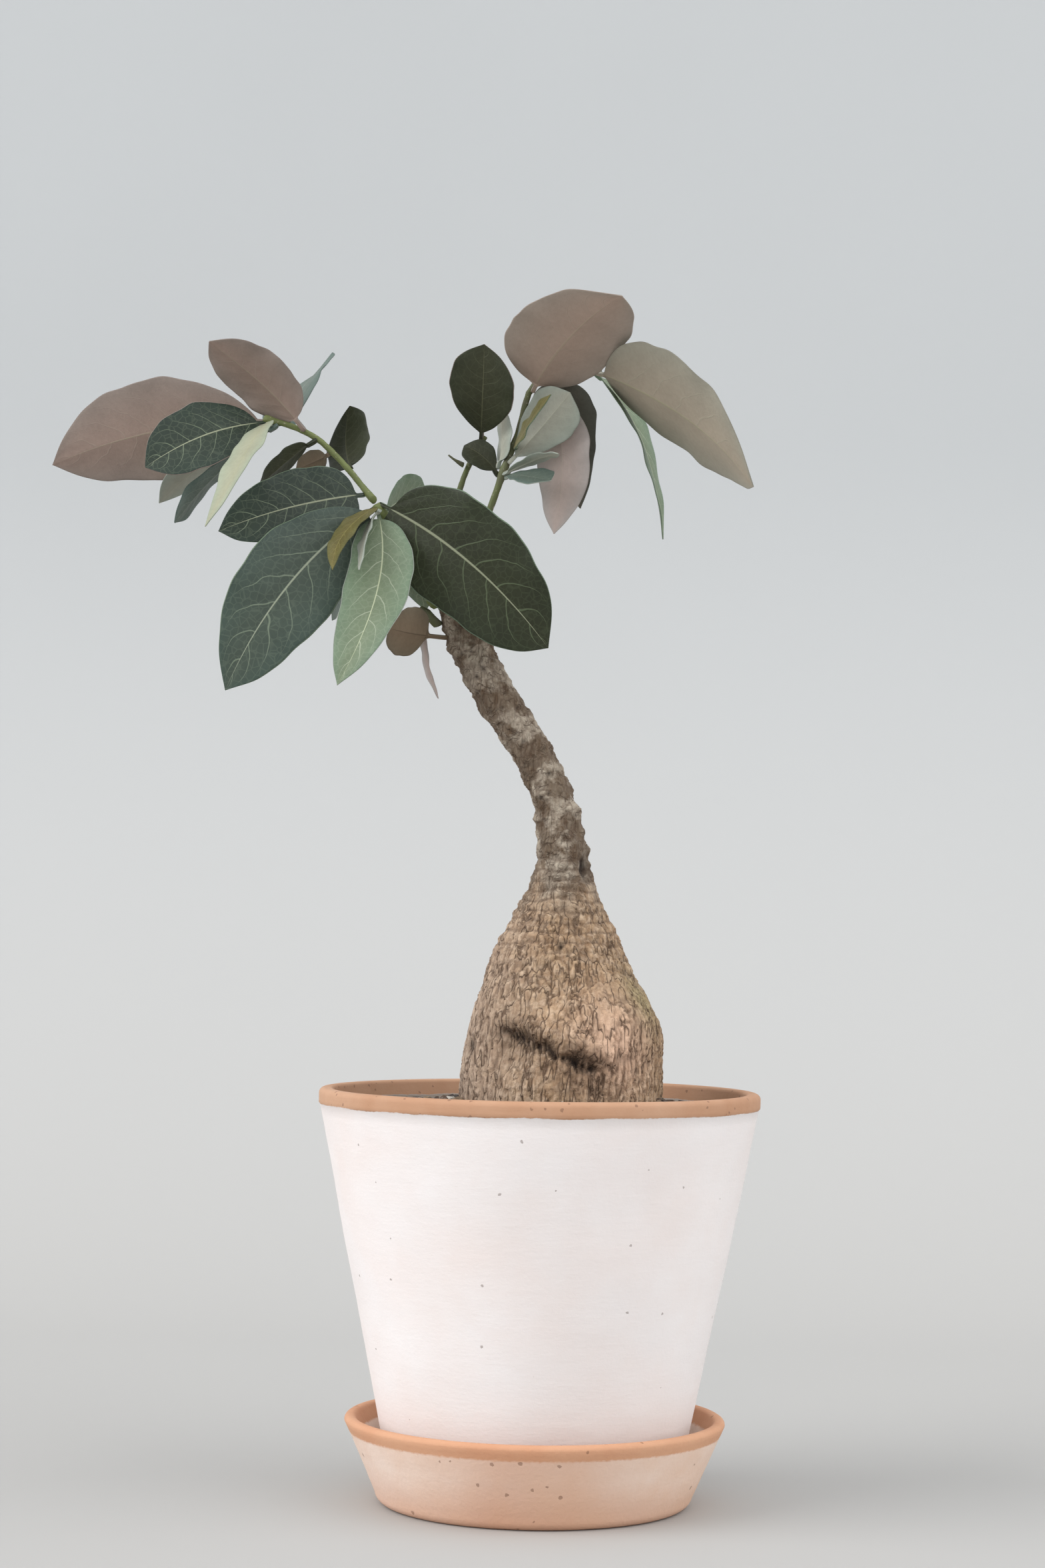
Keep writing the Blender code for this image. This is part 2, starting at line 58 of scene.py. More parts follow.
MM = 0.001
ROOT = "root"
POT_LOW, POT_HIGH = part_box("pot")
SAUCER_LOW, SAUCER_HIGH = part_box("saucer")
SOIL_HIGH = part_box("soil")[1]
TRUNK = "caudex_and_stem"

LEAF_NAMES = sorted(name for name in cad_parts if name.startswith("leaf_"))
TWIG_NAMES = ("twig_centre", "twig_left", "twig_rear", "twig_right", "twig_spike", "pruned_spur")
TWIG_HOSTS = {"twig_left": "twig_centre", "twig_spike": "twig_rear"}
BARK_ATTRIBUTES = ("crevice", "stem", "pit", "swell", "moss", "grime")

# Which finish each leaf shows above and below.
LEAF_FINISHES = {
    "leaf_left_tip_1": ("deep", "taupe_stained"),
    "leaf_left_tip_2": ("deep", "taupe"),
    "leaf_left_tip_3": ("deep", "taupe"),
    "leaf_left_tip_4": ("cream", "cream"),
    "leaf_left_tip_5": ("slate", "slate"),
    "leaf_left_tip_6": ("mist", "mist"),
    "leaf_left_tip_7": ("slate", "slate"),
    "leaf_left_middle_1": ("olive", "olive"),
    "leaf_left_middle_2": ("olive", "olive"),
    "leaf_left_middle_3": ("olive", "russet"),
    "leaf_crown_1": ("deep", "sage"),
    "leaf_crown_2": ("teal", "sage"),
    "leaf_crown_3": ("sage", "mist"),
    "leaf_crown_4": ("forest", "sage"),
    "leaf_crown_5": ("teal", "sage"),
    "leaf_crown_6": ("young", "young"),
    "leaf_crown_7": ("mist", "mist"),
    "leaf_crown_8": ("teal", "mist"),
    "leaf_crown_9": ("sage", "sage"),
    "leaf_stem_1": ("teal", "russet"),
    "leaf_stem_2": ("blush", "blush"),
    "leaf_rear_1": ("olive", "taupe"),
    "leaf_right_middle_1": ("olive", "olive"),
    "leaf_right_middle_2": ("mist", "mist"),
    "leaf_right_middle_3": ("young", "sage"),
    "leaf_right_middle_4": ("slate", "blush"),
    "leaf_right_middle_5": ("russet", "mist"),
    "leaf_right_middle_6": ("slate", "mist"),
    "leaf_right_middle_7": ("mist", "mist"),
    "leaf_right_middle_8": ("slate", "umber"),
    "leaf_right_tip_1": ("teal", "rose"),
    "leaf_right_tip_2": ("teal", "fawn"),
    "leaf_right_tip_3": ("sage", "sage"),
}
# Each leaf finish: how far its clouds darken it, midrib, side veins, their contrast, and roughness.
LEAF_TONES = {
    "teal": (0.72, (0.42, 0.46, 0.34), (0.28, 0.34, 0.24), 0.75, 0.5),
    "deep": (0.7, (0.38, 0.40, 0.27), (0.24, 0.29, 0.19), 0.8, 0.5),
    "forest": (0.7, (0.34, 0.36, 0.24), (0.13, 0.17, 0.09), 0.8, 0.5),
    "rose": (0.86, (0.40, 0.34, 0.24), (0.36, 0.30, 0.24), 0.45, 0.7),
    "olive": (0.7, (0.13, 0.13, 0.07), (0.10, 0.11, 0.06), 0.5, 0.5),
    "sage": (0.8, (0.56, 0.60, 0.40), (0.46, 0.50, 0.38), 0.8, 0.5),
    "slate": (0.75, (0.30, 0.34, 0.28), (0.24, 0.28, 0.23), 0.6, 0.5),
    "mist": (0.85, (0.46, 0.46, 0.36), (0.42, 0.43, 0.36), 0.5, 0.65),
    "cream": (0.82, (0.36, 0.38, 0.20), (0.40, 0.42, 0.26), 0.5, 0.65),
    "young": (0.6, (0.34, 0.32, 0.10), (0.28, 0.25, 0.09), 0.7, 0.5),
    "taupe": (0.86, (0.34, 0.30, 0.21), (0.31, 0.26, 0.21), 0.45, 0.7),
    "fawn": (0.86, (0.34, 0.34, 0.20), (0.33, 0.32, 0.24), 0.45, 0.7),
    "blush": (0.9, (0.50, 0.45, 0.36), (0.50, 0.44, 0.40), 0.35, 0.7),
    "russet": (0.85, (0.05, 0.035, 0.02), (0.13, 0.10, 0.06), 0.6, 0.7),
    "umber": (0.8, (0.18, 0.17, 0.13), (0.16, 0.15, 0.12), 0.5, 0.7),
}


# Selection and mesh helpers


def start_clean():
    """Leave edit mode with nothing selected, ready for a new primitive."""
    if bpy.context.object and bpy.context.object.mode != "OBJECT":
        bpy.ops.object.mode_set(mode="OBJECT")
    bpy.ops.object.select_all(action="DESELECT")


def only(obj):
    """Select this object alone and make it active."""
    start_clean()
    obj.select_set(True)
    bpy.context.view_layer.objects.active = obj


def edit_all(obj):
    """Enter edit mode with everything selected."""
    only(obj)
    bpy.ops.object.mode_set(mode="EDIT")
    bpy.ops.mesh.select_all(action="SELECT")


def flip(obj):
    """Turn every face round."""
    edit_all(obj)
    bpy.ops.mesh.flip_normals()
    bpy.ops.object.mode_set(mode="OBJECT")


def select_vertices(obj, wanted):
    """Enter edit mode with just the wanted vertices, and the edges between them, selected."""
    only(obj)
    bpy.ops.object.mode_set(mode="EDIT")
    bpy.ops.mesh.select_all(action="DESELECT")
    bpy.ops.mesh.select_mode(type="VERT")
    shape = bmesh.from_edit_mesh(obj.data)
    for v in shape.verts:
        v.select = wanted(v)
    shape.select_flush(True)
    bmesh.update_edit_mesh(obj.data)


def apply_modifiers(obj):
    only(obj)
    for modifier in list(obj.modifiers):
        bpy.ops.object.modifier_apply(modifier=modifier.name)


def dress(obj, *finishes):
    obj.data.materials.clear()
    for finish in finishes:
        obj.data.materials.append(finish)


def settle(obj, name, slot, finishes, *replaced):
    """Apply the piece's place, dress it, and fasten it to the frame."""
    only(obj)
    bpy.ops.object.transform_apply(location=True, rotation=True, scale=True)
    obj.name = name
    obj.data.name = name
    dress(obj, *finishes)
    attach(obj, ROOT)
    if replaced:
        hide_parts(*replaced)
    return obj


def points_of(mesh):
    co = np.empty(len(mesh.vertices) * 3)
    mesh.vertices.foreach_get("co", co)
    return co.reshape(-1, 3)


def normals_of(mesh):
    no = np.empty(len(mesh.vertices) * 3)
    mesh.vertices.foreach_get("normal", no)
    return no.reshape(-1, 3)


def put_points(mesh, co):
    mesh.vertices.foreach_set("co", np.asarray(co, float).ravel())
    mesh.update()


def write_attribute(mesh, name, values):
    layer = mesh.attributes.new(name, "FLOAT", "POINT")
    layer.data.foreach_set("value", np.asarray(values, np.float32))


def merged_points(node):
    """The corner points of a solid, each once."""
    return np.unique(np.round(points_of(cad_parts[node].data), 7), axis=0)


def merged_copy(node, name):
    """A free copy of a solid with its loose triangles joined."""
    start_clean()
    copy = bpy.data.objects.new(name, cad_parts[node].data.copy())
    bpy.context.scene.collection.objects.link(copy)
    copy.data.materials.clear()
    edit_all(copy)
    bpy.ops.mesh.remove_doubles(threshold=2e-5)
    bpy.ops.mesh.normals_make_consistent(inside=False)
    bpy.ops.object.mode_set(mode="OBJECT")
    return copy


def unit(v):
    return v / np.linalg.norm(v)


def falloff(distance, reach):
    return np.exp(-((distance / reach) ** 2))


def step(x, low, high):
    """Smooth step from 0 at low to 1 at high."""
    t = np.clip((x - low) / (high - low), 0, 1)
    return t * t * (3 - 2 * t)


# Shader helpers. A finish is written as sums of flows, which add their own nodes.


class Flow:
    """A value in a shader tree, on its way from one node to the next."""

    def __init__(self, socket):
        self.socket = socket
        self.tree = socket.id_data

    def maths(self, operation, a, b=0.0):
        return add(self.tree, "ShaderNodeMath", {0: a, 1: b}, operation=operation)

    def __add__(self, other):
        return self.maths("ADD", self, other)

    def __sub__(self, other):
        return self.maths("SUBTRACT", self, other)

    def __rsub__(self, other):
        return self.maths("SUBTRACT", other, self)

    def __mul__(self, other):
        return self.maths("MULTIPLY", self, other)

    def __pow__(self, other):
        return self.maths("POWER", self, other)

    def __lt__(self, other):
        return self.maths("LESS_THAN", self, other)

    def __gt__(self, other):
        return self.maths("GREATER_THAN", self, other)

    def __abs__(self):
        return self.maths("ABSOLUTE", self)

    def fraction(self):
        return self.maths("FRACT", self)

    def most(self, other):
        return self.maths("MAXIMUM", self, other)

    def spread(self, low, high):
        """Stretch a number so that low becomes 0 and high becomes 1, clamped."""
        return add(self.tree, "ShaderNodeMapRange", {0: self, 1: low, 2: high})

    def axis(self, index):
        return add(self.tree, "ShaderNodeSeparateXYZ", {0: self}, output=index)

    def moved(self, push):
        return add(self.tree, "ShaderNodeVectorMath", {0: self, 1: push}, operation="ADD")

    def scaled(self, factors):
        return add(self.tree, "ShaderNodeVectorMath", {0: self, 1: factors}, operation="MULTIPLY")

    def squeezed(self, share):
        """A place with its height scaled. Below 1, a pattern over it stands tall."""
        return self.scaled(add(self.tree, "ShaderNodeCombineXYZ", {0: 1.0, 1: 1.0, 2: share}))

    def noise(self, scale, detail=2.0, roughness=0.5, output="Fac"):
        links = {"Vector": self, "Scale": scale, "Detail": detail, "Roughness": roughness}
        return add(self.tree, "ShaderNodeTexNoise", links, output=output)

    def cells(self, scale, feature="F1"):
        links = {"Vector": self, "Scale": scale}
        return add(self.tree, "ShaderNodeTexVoronoi", links, output="Distance", feature=feature)

    def beside(self, output):
        """Another output of the same node."""
        return Flow(self.socket.node.outputs[output])


def plug(socket, value):
    """Feed a socket from a flow, or set its number or colour."""
    if isinstance(value, Flow):
        value.tree.links.new(value.socket, socket)
    elif socket.type == "RGBA":
        socket.default_value = (*value, 1.0)
    else:
        socket.default_value = value


def add(tree, kind, links, output=0, **settings):
    """Add a node with its settings and links, and give one of its outputs."""
    node = tree.nodes.new(kind)
    for key, value in settings.items():
        setattr(node, key, value)
    for key, value in links.items():
        plug(node.inputs[key], value)
    return Flow(node.outputs[output])


def place_of(tree):
    return add(tree, "ShaderNodeTexCoord", {}, output="Object")


def attribute(tree, name):
    return add(tree, "ShaderNodeAttribute", {}, output="Fac", attribute_name=name)


def blend(factor, a, b, how="MIX"):
    """Mix two colours by a factor."""
    tree = next(value.tree for value in (factor, a, b) if isinstance(value, Flow))
    return add(tree, "ShaderNodeMix", {0: factor, 6: a, 7: b}, output=2, data_type="RGBA", blend_type=how)


def layered(colour, *layers):
    """Lay (mask, colour) pairs over a colour, one on another."""
    for mask, over in layers:
        colour = blend(mask, colour, over)
    return colour


def new_finish(name, roughness):
    """A new material, its tree, and the inputs of its Principled shader."""
    made = bpy.data.materials.new(name)
    made.use_nodes = True
    shader = made.node_tree.nodes["Principled BSDF"].inputs
    plug(shader["Roughness"], roughness)
    return made, made.node_tree, shader


def roughen(shader, height, strength, distance):
    """Feed a height through a Bump node into the shader's normal."""
    links = {"Height": height, "Strength": strength, "Distance": distance}
    plug(shader["Normal"], add(height.tree, "ShaderNodeBump", links))


# Shared effects

# Side veins: pairs, how they lean and curve towards the tip, and how far one side's lag the other's.
VEIN_PAIRS = 7.0
VEIN_LEAN = 0.13
VEIN_CURVE = 0.20
VEIN_POWER = 2.4
VEIN_LAG = 0.45


def shared(build):
    """Build a group the first time it is called for, and give the same one after that."""
    return lambda: bpy.data.node_groups.get(build.__name__) or build(build.__name__)


def new_group(name, inputs, outputs):
    """An empty group of number sockets, its inputs by name, and its outputs."""
    tree = bpy.data.node_groups.new(name, "ShaderNodeTree")
    for label, default in inputs.items():
        socket = tree.interface.new_socket(label, in_out="INPUT", socket_type="NodeSocketFloat")
        socket.default_value = default
    for label in outputs:
        tree.interface.new_socket(label, in_out="OUTPUT", socket_type="NodeSocketFloat")
    inside = tree.nodes.new("NodeGroupInput").outputs
    return tree, {label: Flow(inside[label]) for label in inputs}, tree.nodes.new("NodeGroupOutput").inputs


def placed(tree, group, **values):
    """Put a group into a tree, and give its outputs by name."""
    node = tree.nodes.new("ShaderNodeGroup")
    node.node_tree = group
    for key, value in values.items():
        plug(node.inputs[key], value)
    return {socket.name: Flow(socket) for socket in node.outputs}


@shared
def mottle(name):
    """Soft blotches over a surface."""
    tree, inside, out = new_group(name, {"Scale": 100.0, "Detail": 4.0, "Low": 0.35, "High": 0.65}, ["Mask"])
    blotches = place_of(tree).noise(inside["Scale"], inside["Detail"], 0.6)
    plug(out["Mask"], blotches.spread(inside["Low"], inside["High"]))
    return tree


def mottled(tree, scale, detail=4.0, low=0.35, high=0.65):
    return placed(tree, mottle(), Scale=scale, Detail=detail, Low=low, High=high)["Mask"]


@shared
def speckle(name):
    """Small scattered specks; Share is how many of the cells hold one."""
    tree, inside, out = new_group(name, {"Scale": 200.0, "Size": 0.2, "Share": 0.2}, ["Mask"])
    place = place_of(tree)
    wander = place.noise(900.0, output="Color").scaled((0.0011, 0.0011, 0.0011))
    distance = place.moved(wander).cells(inside["Scale"])
    lot = add(tree, "ShaderNodeSeparateColor", {0: distance.beside("Color")})
    plug(out["Mask"], (distance < inside["Size"]) * (lot < inside["Share"]))
    return tree


def speckled(tree, scale, size, share):
    return placed(tree, speckle(), Scale=scale, Size=size, Share=share)["Mask"]


@shared
def leaf_veins(name):
    """Leaf veins from the leaf's own map: x runs from stalk to tip, y from edge to edge."""
    outputs = ["Midrib", "Side veins", "Net", "Height", "Edge", "Margin"]
    tree, inside, out = new_group(name, {"Pairs": VEIN_PAIRS, "Width": 0.02}, outputs)
    pairs, width = inside["Pairs"], inside["Width"]
    place = place_of(tree)
    leaf_map = add(tree, "ShaderNodeUVMap", {}, uv_map="leaf")
    along = leaf_map.axis(0)
    side = leaf_map.axis(1) * 2.0 - 1.0
    reach = abs(side)
    # The midrib thins towards the tip.
    rib_width = width * 2.1 * (along * -0.75 + 1.0)
    midrib = reach.spread(rib_width, rib_width * 0.45)
    # Side veins leave the midrib in turn on each side, run out and curve towards the tip.
    swing = reach**VEIN_POWER * VEIN_CURVE + reach * VEIN_LEAN
    bent = (place.noise(90.0) - 0.5) * 0.10 + (along - swing)
    phase = (bent * pairs + (side > 0.0) * VEIN_LAG + 10.0).fraction()
    fade = reach.spread(0.95, 0.25)
    vein_width = width * 1.9 * (fade * 0.6 + 0.4) * (pairs * 0.16)
    side_veins = abs(phase - 0.5).spread(vein_width, vein_width * 0.35)
    side_veins = side_veins * reach.spread(0.93, 0.6) * along.spread(0.02, 0.08)
    # A fine net fills the rest.
    net = place.cells(420.0, "DISTANCE_TO_EDGE").spread(0.09, 0.02)
    height = midrib.most(side_veins * 0.7).most(net * 0.16)
    for label, value in zip(outputs, (midrib, side_veins, net, height, reach.spread(0.93, 1.0), reach**1.6)):
        plug(out[label], value)
    return tree


@shared
def fissure(name):
    """Broken upright cracks between plates."""
    inputs = {"Scale": 300.0, "Width": 0.1, "Stretch": 0.3, "Broken": 0.5}
    tree, inside, out = new_group(name, inputs, ["Mask", "Plate"])
    place = place_of(tree)
    sway = place.noise(170.0, 3.0, output="Color").scaled((0.0028, 0.0028, 0.009))
    place = place.moved(sway).squeezed(inside["Stretch"])
    border = place.cells(inside["Scale"], "DISTANCE_TO_EDGE")
    open_here = place.noise(240.0).spread(inside["Broken"], inside["Broken"] + 0.14)
    plug(out["Mask"], border.spread(inside["Width"], 0.0) * open_here)
    plug(out["Plate"], border.spread(0.0, 0.3))
    return tree


@shared
def split(name):
    """Long wandering upright splits."""
    inputs = {"Scale": 260.0, "Width": 0.02, "Stretch": 0.16, "Broken": 0.45}
    tree, inside, out = new_group(name, inputs, ["Mask", "Plate"])
    place = place_of(tree)
    off = abs(place.squeezed(inside["Stretch"]).noise(inside["Scale"], 2.0, 0.4) - 0.5)
    open_here = place.noise(210.0).spread(inside["Broken"], inside["Broken"] + 0.1)
    plug(out["Mask"], off.spread(inside["Width"], 0.0) * open_here)
    plug(out["Plate"], off.spread(0.0, 0.09))
    return tree


# Finishes


def slip_clay(looks):
    """Chalky slip over clay, with the lip left bare."""
    made, tree, shader = new_finish("slip_coated_clay", 0.85)
    place = place_of(tree)
    height = place.axis(2)
    flat = place.scaled((1.0, 1.0, 0.0))
    radius = add(tree, "ShaderNodeVectorMath", {0: flat}, output="Value", operation="LENGTH")
    fine = place.noise(900.0, 4.0)
    edge = (fine - 0.5) * 0.0006 + ((place.noise(70.0, 3.0) - 0.5) * 0.0012 + height)
    lip_z = POT_HIGH.z - looks.lip_height
    bare_lip = edge.spread(lip_z - 0.0001, lip_z + 0.0002)
    wall = height * -0.2013 + 0.0965  # with this added, one radius lies inside the wall at any height
    inner = radius + wall < 0.1423
    clouds = mottled(tree, 22.0, 5.0, 0.35, 0.7)
    specks = speckled(tree, 170.0, 0.085, 0.20)
    chips = speckled(tree, 42.0, 0.055, 0.16)
    pores = speckled(tree, 420.0, 0.22, 0.22)
    slip = layered(
        blend(clouds, looks.slip_colour, looks.slip_blush),
        (mottled(tree, 9.0, 3.0, 0.4, 0.68) * 0.5, looks.slip_grey),
        (specks * 0.55, (0.16, 0.11, 0.09)),
        (chips * 0.75, (0.30, 0.17, 0.10)),
    )
    clay = layered(blend(clouds, looks.lip_colour, looks.lip_light), (pores * 0.6, (0.20, 0.10, 0.06)))
    # Inside the pot the wall is painted grey-brown, far darker than the slip: painted shade inside the pot.
    inside = blend(clouds, (0.42, 0.36, 0.31), (0.30, 0.25, 0.21))
    plug(shader["Base Color"], layered(slip, (bare_lip, clay), (inner * (1.0 - bare_lip), inside)))
    grain = fine * 0.45 + place.squeezed(5.0).noise(60.0, 6.0, 0.65)
    roughen(shader, grain - specks.most(chips) * 0.4 - pores * bare_lip * 0.5, 0.35, 0.0004)
    plug(shader["Roughness"], fine * 0.2 + 0.72)
    return made


def bare_clay(looks):
    """Terracotta with a whitish wash that stops below the rim. The wash thins towards the foot, so the clay
    is darker towards the bottom, and grows towards the left and right sides as painted light, leaving the
    front darker as painted shade.
    """
    made, tree, shader = new_finish("bare_clay", 0.85)
    place = place_of(tree)
    height = place.axis(2)
    fine = place.noise(700.0, 4.0)
    clouds = mottled(tree, 26.0, 6.0, 0.3, 0.72)
    patch = mottled(tree, 11.0, 3.0, 0.36, 0.64)
    specks = speckled(tree, 230.0, 0.16, 0.18)
    rim_z = SAUCER_HIGH.z - looks.rim_band
    below = ((fine - 0.5) * 0.0012 + height).spread(rim_z + 0.0004, rim_z - 0.0004)
    thin = height.spread(SAUCER_LOW.z, SAUCER_LOW.z + 0.016)
    # Painted light: the wash grows towards the saucer's left and right sides, leaving the front darker as
    # painted shade.
    painted_side_light = abs(place.axis(0)).spread(0.012, 0.052)
    wash_and_side_light = below * (thin * 0.55 + 0.25) * (painted_side_light * 0.8 + 0.54) * (patch * 0.4 + 0.8)
    washed = blend(clouds, looks.wash_colour, looks.wash_warm)
    colour = blend(clouds, looks.clay_colour, looks.clay_light)
    plug(shader["Base Color"], layered(colour, (wash_and_side_light, washed), (specks * 0.55, (0.17, 0.08, 0.045))))
    roughen(shader, fine + clouds - specks * 0.5, 0.4, 0.0004)
    return made


def bark_finish(looks):
    """Furrowed bark: tan plates on the caudex, pale grey and brown patches up the stem, with painted shade in
    its furrows, cracks, crease and pits.
    """
    made, tree, shader = new_finish("bark", 0.9)
    place = place_of(tree)
    crevice, stem, painted_pit_shade, glow, moss, grime = (attribute(tree, name) for name in BARK_ATTRIBUTES)
    streaks = place.squeezed(0.3).noise(420.0, 6.0, 0.7)
    streak = streaks.spread(0.36, 0.62)
    patches = mottled(tree, 120.0, 6.0, 0.46, 0.56)
    flecks = mottled(tree, 430.0, 6.0, 0.46, 0.58)
    long_cracks = placed(tree, split(), Scale=300.0, Width=0.034, Stretch=0.15, Broken=0.35)
    short_cracks = placed(tree, fissure(), Scale=420.0, Width=0.12, Stretch=0.22, Broken=0.49)
    rings = placed(tree, fissure(), Scale=300.0, Width=0.09, Stretch=1.5, Broken=0.46)
    cracks = long_cracks["Mask"].most(short_cracks["Mask"] * 0.8) * ((1.0 - stem) * 0.55 + 0.45)
    cracks = cracks.most(rings["Mask"] * (stem * 0.8))
    caudex = layered(
        blend(streak, looks.bark_shade, looks.bark_tan),
        (flecks * 0.40, looks.bark_pale),
        (mottled(tree, 34.0, 4.0, 0.4, 0.64) * 0.5, looks.bark_brown),
        (place.axis(0).spread(0.004, -0.030) * 0.45, looks.bark_grey),
        (glow * 0.65, looks.bark_pink),
        (moss * 0.5, looks.bark_moss),
    )
    shoot = layered(
        blend(streak, looks.stem_brown, looks.stem_grey),
        (patches * 0.85, looks.stem_pale),
        (flecks * 0.4, looks.stem_grey),
    )
    plug(shader["Base Color"], layered(
        blend(stem, caudex, shoot),
        # Painted shade in and below the crease's hollow; darker bark at the soil and on the knob.
        (grime * 0.75, looks.bark_grime),
        # Painted shade down in the furrows and cracks.
        (crevice * 0.55, looks.bark_furrow),
        (cracks * 0.85, looks.bark_furrow),
        # Near-black painted shade in the crease, the pits and the dents under the knuckles.
        (painted_pit_shade, (0.022, 0.012, 0.008)),
    ))
    plates = long_cracks["Plate"] * short_cracks["Plate"]
    roughen(shader, flecks * 0.35 + (streaks + plates) - cracks * 1.3, 0.75, 0.0007)
    return made


def twig_finish(name, young, old):
    made, tree, shader = new_finish(name, 0.65)
    patches = mottled(tree, 120.0, 4.0, 0.38, 0.64)
    flecks = speckled(tree, 900.0, 0.25, 0.3)
    plug(shader["Base Color"], layered(blend(patches, young, old), (flecks * 0.5, (0.42, 0.38, 0.28))))
    roughen(shader, patches + flecks, 0.4, 0.0002)
    return made


def leaf_finish(name, body, darkening, rib, veins, contrast, roughness, stain=None):
    """One side of a leaf: body colour, darker clouds, ribs, side veins and a faint net."""
    made, tree, shader = new_finish("leaf_" + name, roughness)
    plug(shader["Specular IOR Level"], 0.35)
    shade = [darkening * c for c in body]
    ribs = placed(tree, leaf_veins(), Width=0.018)
    clouds = mottled(tree, 60.0, 5.0, 0.32, 0.7)
    flecks = mottled(tree, 700.0, 3.0, 0.35, 0.65)
    colour = layered(blend(clouds, body, shade), (flecks * 0.18, [1.35 * c for c in body]))
    warm = blend(1.0, colour, (1.04, 0.98, 0.96), "MULTIPLY")
    cool = blend(1.0, colour, (0.93, 0.99, 1.02), "MULTIPLY")
    colour = blend(ribs["Margin"], warm, cool)
    if stain:
        colour = blend(attribute(tree, "stain") * (clouds * 0.6 + 0.6), colour, stain)
    plug(shader["Base Color"], layered(
        colour,
        (ribs["Net"] * 0.1, veins),
        (ribs["Side veins"] * (0.62 * contrast), veins),
        (ribs["Midrib"] * (0.9 * contrast), rib),
        (ribs["Edge"] * 0.35, [0.6 * c for c in shade]),
    ))
    roughen(shader, flecks * 0.25 + ribs["Height"], 0.3, 0.0003)
    return made


def soil_finish(name, scale, low, high):
    made, tree, shader = new_finish(name, 0.95)
    clouds = mottled(tree, scale, 6.0, 0.3, 0.7)
    plug(shader["Base Color"], blend(clouds, low, high))
    roughen(shader, clouds, 0.9, 0.0015)
    return made


def grit_finish():
    """Mixed grit; each stone carries its own tone."""
    made, tree, shader = new_finish("mixed_grit", 0.92)
    tones = add(tree, "ShaderNodeValToRGB", {0: attribute(tree, "tone")})
    ramp = tones.socket.node.color_ramp
    ramp.interpolation = "CONSTANT"
    ramp.elements.remove(ramp.elements[1])
    ramp.elements[0].color = (0.06, 0.05, 0.045, 1)
    for position, colour in ((0.34, (0.13, 0.085, 0.06, 1)), (0.58, (0.27, 0.19, 0.12, 1)),
                             (0.78, (0.35, 0.31, 0.26, 1)), (0.92, (0.55, 0.52, 0.46, 1))):
        ramp.elements.new(position).color = colour
    pores = mottled(tree, 900.0, 4.0, 0.35, 0.6)
    plug(shader["Base Color"], blend(pores * 0.35, tones, (0.07, 0.055, 0.045)))
    roughen(shader, pores, 0.5, 0.0003)
    return made


def plastic_finish():
    """Black plastic with a faint bloom."""
    made, tree, shader = new_finish("black_plastic", 0.5)
    plug(shader["Base Color"], blend(mottled(tree, 400.0), (0.018, 0.018, 0.019), (0.03, 0.03, 0.031)))
    return made


def sweep_finish(looks):
    """A plain floor that turns into the backdrop's colour as it rises, seen from its front only."""
    made, tree, shader = new_finish("plain_sweep", 0.9)
    haze = mottled(tree, 2.0, 3.0, 0.2, 0.8)
    wall = blend(haze, looks.wall_colour, [0.95 * c for c in looks.wall_colour])
    plug(shader["Base Color"], blend(place_of(tree).axis(2).spread(0.0, 0.5), looks.floor_colour, wall))
    plug(shader["Alpha"], 1.0 - add(tree, "ShaderNodeNewGeometry", {}, output="Backfacing"))
    return made


# Turned clay


def turned(name, profile, sides):
    """Raise a wall ring by ring from (radius, height) steps. A step on the axis closes the shape;
    a profile that ends where it began is sewn into a ring."""
    start_clean()
    first = 1 if profile[0][0] == 0 else 0
    radius, z = profile[first]
    bpy.ops.mesh.primitive_circle_add(vertices=sides, radius=radius, fill_type="NOTHING", location=(0, 0, z))
    obj = bpy.context.object
    bpy.ops.object.transform_apply(location=True)
    edit_all(obj)
    if first:
        bpy.ops.mesh.edge_face_add()
        bpy.ops.mesh.poke()
        bpy.ops.mesh.select_all(action="DESELECT")
        bpy.ops.mesh.select_non_manifold()
    for next_radius, next_z in profile[first + 1:]:
        bpy.ops.mesh.extrude_edges_move(TRANSFORM_OT_translate={"value": (0, 0, next_z - z)})
        if next_radius == 0:
            bpy.ops.mesh.merge(type="CENTER")
        else:
            share = next_radius / radius
            bpy.ops.transform.resize(value=(share, share, 1), center_override=(0, 0, next_z))
        radius, z = next_radius, next_z
    bpy.ops.mesh.select_all(action="SELECT")
    bpy.ops.mesh.remove_doubles(threshold=1e-6)
    bpy.ops.mesh.normals_make_consistent(inside=False)
    bpy.ops.object.mode_set(mode="OBJECT")
    obj.name = name
    return obj


def corner(centre_r, centre_z, radius, start, end, steps):
    return [
        (centre_r + radius * cos(radians(a)), centre_z + radius * sin(radians(a)))
        for a in np.linspace(start, end, steps)
    ]


def line(a, b, steps):
    """Steps from just past a up to and with b."""
    return [(a[0] + (b[0] - a[0]) * t, a[1] + (b[1] - a[1]) * t) for t in np.linspace(0, 1, steps + 1)[1:]]


def hand_made(obj, depth, seed, keep_below):
    """Press soft unevenness into a turned piece, leaving its foot flat."""
    mesh = obj.data
    co = points_of(mesh)
    radius = np.hypot(co[:, 0], co[:, 1])
    push = np.array([
        noise.noise(Vector((x * 22 + seed, y * 22, z * 30)))
        + 0.35 * noise.noise(Vector((x * 70, y * 70, z * 260 + seed)))
        for x, y, z in co
    ])
    push *= depth * step(co[:, 2], keep_below, keep_below + 0.006) * step(radius, 0.01, 0.03)
    share = 1 + push / np.maximum(radius, 0.02)
    co[:, 0] *= share
    co[:, 1] *= share
    put_points(mesh, co)


# Leaves


